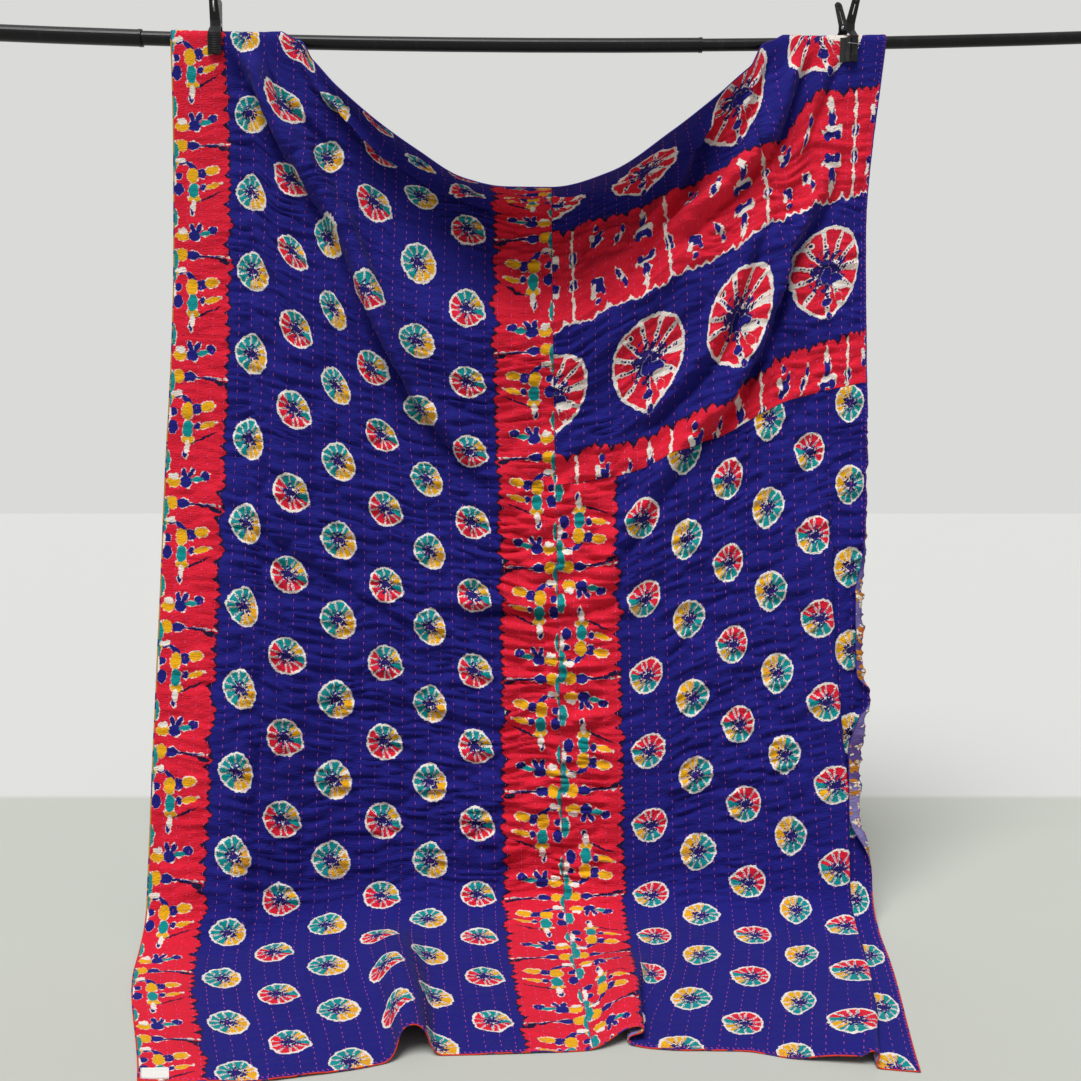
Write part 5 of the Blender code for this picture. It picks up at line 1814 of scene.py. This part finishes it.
@dataclass(frozen=True)
class BackPrint(PrintedCotton):
    """The reverse: lilac cotton with sprays of small ochre and white flowers and turquoise paisleys."""

    flowers: tuple[Flower, ...] = (
        Flower(46.0, 14.0, 5.0, "B9751F", "EADFCB", 0.18),
        Flower(23.0, 7.0, 4.0, "E4D7C2", "B9751F", 0.34),
        Flower(15.0, 3.2, 2.0, "E4D7C2", "7A4A22", 0.45),
        Flower(128.0, 13.0, 6.0, "D9601F", "EADFCB", 0.20),
    )
    paisleys_mm: tuple[float, float] = (1462.0, 1400.0)  # one paisley's middle
    paisley_column_mm: float = 190.0
    paisley_row_mm: float = 240.0
    leaves: int = 11

    def build(self) -> bpy.types.Material:
        """Makes the material.

        Returns:
            The finished material.
        """
        graph = Graph(bpy.data.materials.new("printed_cotton_lilac"))
        add = graph.add
        flat = graph.cloth_mm()
        place = graph.roughened(flat, 0.12, 2.4)
        cloudy = add(FLAT_NOISE, (flat, 0.011, 3.0))
        bands = add(RANGE, (cloudy, 0.38, 0.62, 0.0, 1.0))
        colour = add(BLEND, (bands, "54427F", "8279AE"))
        for flower in self.flowers:
            colour = self.scattered(graph, colour, place, flower)
        colour = self.paisleys(graph, colour, place)
        return self.finish(graph, colour)

    def scattered(self, graph: Graph, ground: Socket, place: Socket, flower: Flower) -> Socket:
        """Scatters flowers of one kind over the ground.

        Args:
            graph: The material.
            ground: The colour under them.
            place: Where on the print, in millimetres.
            flower: Their kind.

        Returns:
            The printed colour.
        """
        add = graph.add
        cells = add(SCATTER, (place, 1.0 / flower.apart, 0.85)).node
        local = add(OFFSET, (place, cells.outputs["Position"]))
        luck, phase, _ = add(SPLIT, (cells.outputs["Color"],))
        x, y, _ = add(SPLIT, (local,))
        turn = add(TIMES_PLUS, (phase, 6.0, add(ARCTAN, (y, x))))
        wave = add(COSINE, (add(TIMES, (turn, flower.petals / 2)),))
        wave = add(ABSOLUTE, (wave,))
        edge = add(TIMES_PLUS, (wave, 0.75 * flower.size, 0.30 * flower.size))
        radius = add(LENGTH, (local,))
        kept = add(ABOVE, (luck, flower.empty))
        petal = add(TIMES, (add(BELOW, (radius, edge)), kept))
        petal = add(TIMES, (petal, add(ABOVE, (wave, 0.24))))
        colour = add(BLEND, (petal, ground, flower.ink))
        middle = add(TIMES, (add(BELOW, (radius, 0.28 * flower.size)), kept))
        return add(BLEND, (middle, colour, flower.heart))

    def paisleys(self, graph: Graph, ground: Socket, place: Socket) -> Socket:
        """Prints turquoise paisleys with a white spot, each in a ring of ochre leaves.

        Args:
            graph: The material.
            ground: The colour under them.
            place: Where on the print, in millimetres.

        Returns:
            The printed colour.
        """
        add = graph.add
        across, down, _ = add(SPLIT, (place,))
        column, half_row = self.paisley_column_mm, self.paisley_row_mm / 2
        cell = add(WRAP, (add(MINUS, (across, self.paisleys_mm[0])), 1.5 * column, -0.5 * column))
        stepped = add(ABOVE, (cell, 0.5 * column))
        x = add(TIMES_PLUS, (stepped, -column, cell))
        y = add(TIMES_PLUS, (stepped, half_row, down))
        y = add(WRAP, (add(MINUS, (y, self.paisleys_mm[1])), half_row, -half_row))
        spot = add(JOIN, (x, y, 0.0))
        ring = []
        for i in range(self.leaves):
            turn = 2.0 * math.pi * i / self.leaves
            ring.append(Drop(33 * math.cos(turn), 5 + 41 * math.sin(turn), 8.5, 3.4, math.degrees(turn)))
        body = graph.drops(spot, PAISLEY_BODY)
        layers = (
            (graph.drops(spot, ring), "B9761F"),
            (add(MINUS, (body, 2.4)), "3C2A63"),
            (body, "0E9BC9"),
            (graph.drops(spot, PAISLEY_EYE), Ink.WHITE),
        )
        colour = ground
        for far, ink in layers:
            colour = add(BLEND, (add(BELOW, (far, 0.0)), colour, ink))
        return colour


@dataclass(frozen=True)
class HemCotton(PrintedCotton):
    """The turned edge, overcast all round: indigo at the top, orange-red at the foot, ochre up the left."""

    def build(self) -> bpy.types.Material:
        """Makes the material.

        Returns:
            The finished material.
        """
        graph = Graph(bpy.data.materials.new("overcast_cotton_hem"))
        add = graph.add
        place = add(PLACE)
        x, _, z = add(SPLIT, (place,))
        speck = add(SOLID_NOISE, (place, 60.0, 2.0))
        foot = add(BELOW, (z, 0.06 - ROD_HEIGHT))
        left = add(BELOW, (x, -0.50))
        colour = add(BLEND, (left, "352C86", "B98A3A"))
        colour = add(BLEND, (foot, colour, "C93A22"))
        patch = add(ABOVE, (speck, 0.56))
        colour = add(BLEND, (patch, colour, "4A2A6E"))
        return self.finish(graph, colour)


@dataclass(frozen=True)
class PlainFinish:
    """One colour, with a fine grain in it and with larger marks that change its shade and its gloss."""

    material: str
    colour: str
    marked: str  # the colour where it is marked
    grain: float  # waves for each metre
    grain_detail: float
    grain_depth: float
    marks: float  # waves for each metre
    marks_detail: float
    marked_between: tuple[float, float]
    roughness: float
    marks_roughness: float = 0.0  # what the marks add to it
    ior: float = 1.5
    specular: float = 0.5
    sheen: float = 0.0
    metallic: float = 0.0
    is_banded: bool = False  # whether the marks run round the piece

    def build(self) -> bpy.types.Material:
        """Makes the material.

        Returns:
            The finished material.
        """
        graph = Graph(bpy.data.materials.new(self.material))
        add = graph.add
        place = add(PLACE)
        grain = add(SOLID_NOISE, (place, self.grain, self.grain_detail))
        if self.is_banded:
            marks = add(LINE_NOISE, (add(SPLIT, (place,))[0], self.marks, self.marks_detail))
        else:
            marks = add(SOLID_NOISE, (place, self.marks, self.marks_detail))
        share = add(RANGE, (marks, *self.marked_between, 0.0, 1.0))
        colour = add(BLEND, (share, self.colour, self.marked))
        rough = self.roughness
        if self.marks_roughness:
            rough = add(TIMES_PLUS, (marks, self.marks_roughness, rough))
        return graph.surface(colour, rough, grain, self.grain_depth, {
            "IOR": self.ior, "Specular IOR Level": self.specular, "Sheen Weight": self.sheen,
            "Metallic": self.metallic,
        })


# Bright, soft, and here and there a little faded.
COTTON_THREAD = PlainFinish(
    "twisted_cotton_thread", "F04CAE", "C8489E", grain=1500.0, grain_detail=1.0, grain_depth=0.0001,
    marks=9.0, marks_detail=3.0, marked_between=(0.40, 0.62), roughness=0.62, specular=0.35, sheen=0.2,
)
# Satin, with the orange peel that baking leaves, and rubbed round where the tubes slide.
POWDER_COAT = PlainFinish(
    "powder_coated_steel_black", "0E0E10", "19191C", grain=900.0, grain_detail=2.0, grain_depth=0.00006,
    marks=40.0, marks_detail=4.0, marked_between=(0.60, 0.80), roughness=0.24, marks_roughness=0.14,
    specular=0.22, is_banded=True,
)
# Glass-filled, from a spark-eroded mould: dull, faintly grained, greyer where handled.
MOULDED_NYLON = PlainFinish(
    "moulded_nylon_black", "0D0D0F", "2B2B30", grain=2200.0, grain_detail=2.0, grain_depth=0.00008,
    marks=70.0, marks_detail=4.0, marked_between=(0.52, 0.75), roughness=0.36, marks_roughness=0.22,
    ior=1.53, specular=0.25,
)
# Bright, with the fine marks of drawing.
SPRING_STEEL = PlainFinish(
    "drawn_spring_steel", "A9AAAD", "C4C5C8", grain=1100.0, grain_detail=3.0, grain_depth=0.00003,
    marks=1100.0, marks_detail=3.0, marked_between=(0.0, 1.0), roughness=0.20, marks_roughness=0.20,
    metallic=1.0,
)
# Nitrile: matt, and slightly chalky in places.
MOULDED_RUBBER = PlainFinish(
    "moulded_rubber_black", "17171A", "2A2A2C", grain=1600.0, grain_detail=3.0, grain_depth=0.0001,
    marks=120.0, marks_detail=3.0, marked_between=(0.50, 0.72), roughness=0.72, marks_roughness=0.14,
    ior=1.52,
)


@dataclass(frozen=True)
class LabelTape:
    """White woven tape: bright, flat and finely ribbed across."""

    colour: str = "F1F0EC"
    stained: str = "E2E0D9"

    def build(self) -> bpy.types.Material:
        """Makes the material.

        Returns:
            The finished material.
        """
        graph = Graph(bpy.data.materials.new("woven_label_tape"))
        add = graph.add
        place = add(PLACE)
        rib = add(RIBS, {"Vector": place, "Scale": 260.0, "Distortion": 0.6})
        stain = add(SOLID_NOISE, (place, 45.0))
        colour = add(BLEND, (stain, self.colour, self.stained))
        return graph.surface(colour, 0.78, rib, 0.0001, {"Sheen Weight": 0.1})


@dataclass(frozen=True)
class PaintedFloor:
    """Sealed concrete, painted pale: grey by the quilt, and white from turn_y back."""

    near: str = "BEC1B9"
    far: str = "D4D4D2"
    turn_y: float = 0.54

    def build(self) -> bpy.types.Material:
        """Makes the material.

        Returns:
            The finished material.
        """
        graph = Graph(bpy.data.materials.new("painted_concrete_pale"))
        add = graph.add
        place = add(PLACE)
        y = add(SPLIT, (place,))[1]
        cloudy = add(SOLID_NOISE, (place, 1.4, 5.0))
        share = add(RANGE, (y, self.turn_y - 0.01, self.turn_y + 0.02, 0.0, 1.0))
        colour = add(BLEND, (share, self.near, self.far))
        rough = add(TIMES_PLUS, (cloudy, 0.2, 0.45))
        return graph.surface(colour, rough, cloudy, 0.0008, {"IOR": 1.45})


# --- Crossbar and clamps -----------------------------------------------------------------------
@dataclass(frozen=True)
class Crossbar:
    """Three telescoping steel tubes, powder-coated black."""

    nodes: tuple[str, ...] = ("crossbar_left", "crossbar_middle", "crossbar_right")
    rim: float = 0.0003

    def dress(self, finish: bpy.types.Material) -> None:
        """Gives the tubes their finish and takes the sharpness off their ends."""
        for name in self.nodes:
            dress_node(name, finish, self.rim)


def dress_node(name: str, finish: bpy.types.Material, rim: float) -> None:
    """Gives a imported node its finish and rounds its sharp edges.

    Args:
        name: The node's name.
        finish: Its material.
        rim: Radius of its edges, in metres.
    """
    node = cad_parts[name]
    for slot in node.material_slots:
        slot.link = "OBJECT"
        slot.material = finish
    bevel = node.modifiers.new("edge", "BEVEL")
    bevel.width = rim
    bevel.segments = 2
    bevel.limit_method = "ANGLE"
    bevel.angle_limit = math.radians(35.0)
    bevel.harden_normals = False
    log.info("%s: dressed", name)


def tube(path: Array, radius: float, sides: int = 8) -> tuple[Array, Array]:
    """A round wire along a path, closed at both ends.

    Args:
        path: (N, 3) points.
        radius: Of the wire.
        sides: How many sides it has.

    Returns:
        Its points and its faces, as quads.
    """
    ahead = np.gradient(path, axis=0)
    ahead /= np.linalg.norm(ahead, axis=1, keepdims=True)
    side = np.cross(ahead[0], (0.31, 0.17, 0.93))
    rings = []
    for place, run in zip(path, ahead):
        side = side - run * (side @ run)
        side /= np.linalg.norm(side)
        up = np.cross(run, side)
        turns = 2.0 * math.pi * np.arange(sides) / sides
        rings.append(place + radius * (np.outer(np.cos(turns), side) + np.outer(np.sin(turns), up)))
    points = np.concatenate([*rings, path[:1], path[-1:]])
    faces = lofted(np.array(rings)).tolist()
    first, last = len(points) - 2, len(points) - 1
    for i in range(0, sides, 2):
        j, k = (i + 1) % sides, (i + 2) % sides
        faces.append((first, k, j, i))
        end = (len(path) - 1) * sides
        faces.append((last, end + i, end + j, end + k))
    return points, np.array(faces)


def rounded_path(corners: Sequence[Sequence[float]], radius: float, steps: int = 5) -> Array:
    """A path through corners, each rounded off.

    Args:
        corners: (x, y, z) places.
        radius: How far from a corner its bend starts.
        steps: Points in each bend.

    Returns:
        (N, 3) points.
    """
    points = [np.array(corners[0], dtype=float)]
    for before, corner, after in zip(corners, corners[1:], corners[2:]):
        corner = np.array(corner, dtype=float)
        start = corner + (np.array(before) - corner) / np.linalg.norm(np.array(before) - corner) * radius
        end = corner + (np.array(after) - corner) / np.linalg.norm(np.array(after) - corner) * radius
        for t in np.linspace(0.0, 1.0, steps):
            points.append(start * (1 - t) ** 2 + 2 * corner * t * (1 - t) + end * t * t)
    points.append(np.array(corners[-1], dtype=float))
    return np.array(points)


# A finger rib, as (up, out from the jaw).
RIB_SECTION = ((-0.0011, -0.0003), (-0.0007, 0.0006), (-0.0002, 0.0009), (0.0002, 0.0009), (0.0007, 0.0006),
               (0.0011, -0.0003))


@dataclass(frozen=True)
class SpringClamp:
    """A nylon spring clamp across the bar: its coil spring, and what its jaws carry."""

    name: str
    across: float
    turn: float
    jaw_width: float
    knuckle: float
    pad_width: float
    is_ribbed: bool
    pivot_height: float = 0.028
    pad_thickness: float = 0.0024
    lever_plate: float = 0.0035
    coil_radius: float = 0.0040
    coil_half_length: float = 0.0030
    coil_turns: float = 4.25
    wire_radius: float = 0.00065
    leg_depth: float = 0.0142
    leg_height: float = 0.0500
    pad_gap: float = 0.0005
    lever_gap: float = 0.0003
    rivet_radius: float = 0.0031
    rivet_rise: float = 0.0011
    rivet_across: float = 0.0095
    ribs: int = 8
    rib_pitch: float = 0.0043
    lowest_rib: float = -0.0265
    pad_wire_radius: float = 0.0006
    pad_wire_bend: float = 0.0022
    pad_wire_height: float = -0.0060

    def place(self, points: Array) -> Array:
        """Moves points from the clamp's own frame, whose middle is on the bar's axis.

        Args:
            points: (N, 3) points.

        Returns:
            (N, 3) points in the part's frame.
        """
        turn = math.radians(self.turn)
        x, y, z = np.asarray(points, dtype=float).T
        level = bar_height(self.across) - ROD_HEIGHT
        return np.stack([
            self.across + x * math.cos(turn) - y * math.sin(turn),
            x * math.sin(turn) + y * math.cos(turn),
            z + level,
        ], axis=1)

    def jaw_depth(self) -> float:
        """How far each jaw's outer face stands from the bar's axis.

        Returns:
            Metres.
        """
        cloth = float(wrap_radius(self.across)) + CLOTH_GAP / 2 + CLOTH_THICKNESS
        pad = cloth + self.pad_gap + self.pad_thickness
        return pad * math.cos(math.radians(self.turn)) + self.knuckle + self.lever_gap + self.lever_plate

    def dress(self, nylon: bpy.types.Material, steel: bpy.types.Material, rubber: bpy.types.Material) -> None:
        """Gives the clamp its finishes, its coil spring and its jaws' details.

        Args:
            nylon: The levers' finish.
            steel: The pin's and the spring's.
            rubber: The pads'.
        """
        for part in ("front", "back"):
            dress_node(f"{self.name}_{part}", nylon, 0.0006)
            dress_node(f"{self.name}_pad_{part}", rubber, 0.0005)
        dress_node(f"{self.name}_pin", steel, 0.0004)
        self.add_spring(steel)
        self.add_rivets(steel)
        if self.is_ribbed:
            self.add_ribs(nylon)
        else:
            self.add_pad_wire(steel)

    def add_spring(self, steel: bpy.types.Material) -> None:
        """Adds the coil round the pin, with a leg up the inside of each handle.

        Args:
            steel: Its finish.
        """
        t = np.linspace(0.0, 1.0, int(self.coil_turns * 18) + 1)
        turn = math.radians(14.0) + 2.0 * math.pi * self.coil_turns * t
        coil = np.stack([
            self.coil_half_length * (2.0 * t - 1.0),
            self.coil_radius * np.cos(turn),
            self.pivot_height + self.coil_radius * np.sin(turn),
        ], axis=1)
        first = (-self.coil_half_length, self.leg_depth, self.leg_height)
        last = (self.coil_half_length, -self.leg_depth, self.leg_height)
        path = np.array([first, *coil, last])
        points, faces = tube(self.place(path), self.wire_radius)
        spring = add_piece(f"{self.name}_coil", points, faces, steel)
        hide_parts(f"{self.name}_spring")

    def add_rivets(self, steel: bpy.types.Material) -> None:
        """Adds the domed heads that the pin was closed with.

        Args:
            steel: Their finish.
        """
        turn, way = np.meshgrid(np.linspace(0.0, math.pi / 2, 6), np.linspace(0.0, 2.0 * math.pi, 21)[:-1])
        turn, way = turn.T, way.T
        radius, across = self.rivet_radius * np.cos(turn), self.rivet_across + self.rivet_rise * np.sin(turn)
        y, z = radius * np.cos(way), self.pivot_height + radius * np.sin(way)
        left, right = np.stack([-across, y, z], axis=-1), np.stack([across, y, z], axis=-1)
        points = np.concatenate([left.reshape(-1, 3), right.reshape(-1, 3)])
        faces = np.concatenate([lofted(left)[:, ::-1], lofted(right) + left.size // 3])
        rivets = add_piece(f"{self.name}_rivets", self.place(points), faces, steel)

    def add_ribs(self, nylon: bpy.types.Material) -> None:
        """Adds the finger ribs moulded across each straight jaw.

        Args:
            nylon: Their finish.
        """
        points, faces = [], []
        depth, half = self.jaw_depth(), self.jaw_width / 2 - 0.0014
        count = len(RIB_SECTION)
        for side in (-1.0, 1.0):
            for rib in range(self.ribs):
                height = self.lowest_rib + self.rib_pitch * rib
                start = len(points)
                for x in (-half, half):
                    points += [(x, side * (depth + proud), height + rise) for rise, proud in RIB_SECTION]
                wall = start + lofted(np.empty((2, count, 3)))
                faces += (wall if side > 0 else wall[:, ::-1]).tolist()
                for a in (start, start + count):
                    for i, j, k, m in ((0, 1, 4, 5), (1, 2, 3, 4)):
                        face = (a + i, a + j, a + k, a + m)
                        faces.append(face[::-1] if (a == start) == (side > 0) else face)
        ribs = add_piece(f"{self.name}_ribs", self.place(points), faces, nylon)

    def add_pad_wire(self, steel: bpy.types.Material) -> None:
        """Adds the wire that holds each swivelling pad in its jaw.

        Args:
            steel: Its finish.
        """
        half = self.pad_width / 2 - 0.0010
        parts, faces, count = [], [], 0
        for side in (-1.0, 1.0):
            depth = side * (self.jaw_depth() + 0.0006)
            inner = side * (self.jaw_depth() - 0.0075)
            ends = ((-half, inner), (-half, depth), (half, depth), (half, inner))
            path = rounded_path([(*end, self.pad_wire_height) for end in ends], self.pad_wire_bend)
            points, quads = tube(self.place(path), self.pad_wire_radius)
            parts.append(points)
            faces.append(quads + count)
            count += len(points)
        wire = add_piece(f"{self.name}_pad_wire", np.concatenate(parts), np.concatenate(faces), steel)


# --- Studio ------------------------------------------------------------------------------------
@dataclass(frozen=True)
class Studio:
    """A pale floor, soft light and the camera."""

    camera_place: tuple[float, float, float] = (0.0, -2.554, -0.611)
    camera_tilt: float = 82.6
    lens_mm: float = 43.29
    floor_half: float = 7.0
    wall: str = "DADAD8"
    wall_fill: float = 0.41  # how much of the wall's brightness it gives back as light
    sun_turn: float = -24.0  # degrees, from straight in front towards the left
    sun_height: float = 62.0
    sun_power: float = 3.1
    sun_spread: float = 32.0

    def build(self, floor_finish: bpy.types.Material) -> None:
        """Makes all of it.

        Args:
            floor_finish: The floor's paint.
        """
        self.add_floor(floor_finish)
        self.add_world()
        self.add_sun()
        self.add_camera()

    def add_floor(self, finish: bpy.types.Material) -> None:
        """Adds the floor.

        Args:
            finish: Its paint.
        """
        mesh = bpy.data.meshes.new("floor")
        half = self.floor_half
        level = -ROD_HEIGHT - 0.0002
        corners = ((-half, -half, level), (half, -half, level), (half, half, level), (-half, half, level))
        mesh.from_pydata(corners, [], [(0, 1, 2, 3)])
        mesh.materials.append(finish)
        floor = bpy.data.objects.new("floor", mesh)
        bpy.context.scene.collection.objects.link(floor)

    def add_world(self) -> None:
        """Adds the pale wall all round, which lights the quilt less than it shows."""
        world = bpy.data.worlds.new("studio")
        bpy.context.scene.world = world
        graph = Graph(world)
        add = graph.add
        strength = add(TIMES_PLUS, (add(DIFFUSE_RAY), self.wall_fill - 1.0, 1.0))
        add(WORLD, {"Surface": add(BACKGROUND, (self.wall, strength))})

    def add_sun(self) -> None:
        """Adds the broad, soft daylight from above, in front and a little to the left."""
        light = bpy.data.lights.new("daylight", "SUN")
        light.energy = self.sun_power
        light.angle = math.radians(self.sun_spread)
        lamp = bpy.data.objects.new("daylight", light)
        lamp.rotation_euler = (math.radians(90.0 - self.sun_height), 0.0, math.radians(self.sun_turn))
        bpy.context.scene.collection.objects.link(lamp)

    def add_camera(self) -> None:
        """Adds the camera, level with the middle of the quilt and tilted down a little."""
        lens = bpy.data.cameras.new("camera")
        lens.lens = self.lens_mm
        lens.sensor_width = 36.0
        camera = bpy.data.objects.new("camera", lens)
        camera.location = self.camera_place
        camera.rotation_euler = (math.radians(self.camera_tilt), 0.0, 0.0)
        bpy.context.scene.collection.objects.link(camera)
        bpy.context.scene.camera = camera


def main() -> None:
    """Builds the quilt, dresses the crossbar and its clamps, and sets up the studio."""
    logging.basicConfig(level=logging.INFO, format="%(name)s: %(message)s")
    bpy.context.scene.view_settings.view_transform = "Standard"
    indigo = IndigoPrint().build()
    thread = COTTON_THREAD.build()
    quilt = Quilt(QuiltCloth())
    quilt.add_front(indigo, EndPrint().build())
    quilt.add_back(BackPrint().build())
    quilt.add_stitches("quilt_stitches_front", quilt.cloth.front, 1.0, thread)
    quilt.add_stitches("quilt_stitches_back", quilt.cloth.back, -1.0, thread)
    quilt.add_hem(HemCotton().build())
    quilt.add_edge_stitches(thread)
    quilt.add_label(LabelTape().build(), thread)
    Crossbar().dress(POWDER_COAT.build())
    nylon, steel, rubber = MOULDED_NYLON.build(), SPRING_STEEL.build(), MOULDED_RUBBER.build()
    SpringClamp("left_clamp", -0.611, 4.0, 0.0240, 0.0035, 0.0260, True).dress(nylon, steel, rubber)
    SpringClamp("right_clamp", 0.577, 24.0, 0.0140, 0.0066, 0.0300, False).dress(nylon, steel, rubber)
    Studio().build(PaintedFloor().build())


if __name__ == "__main__":
    main()
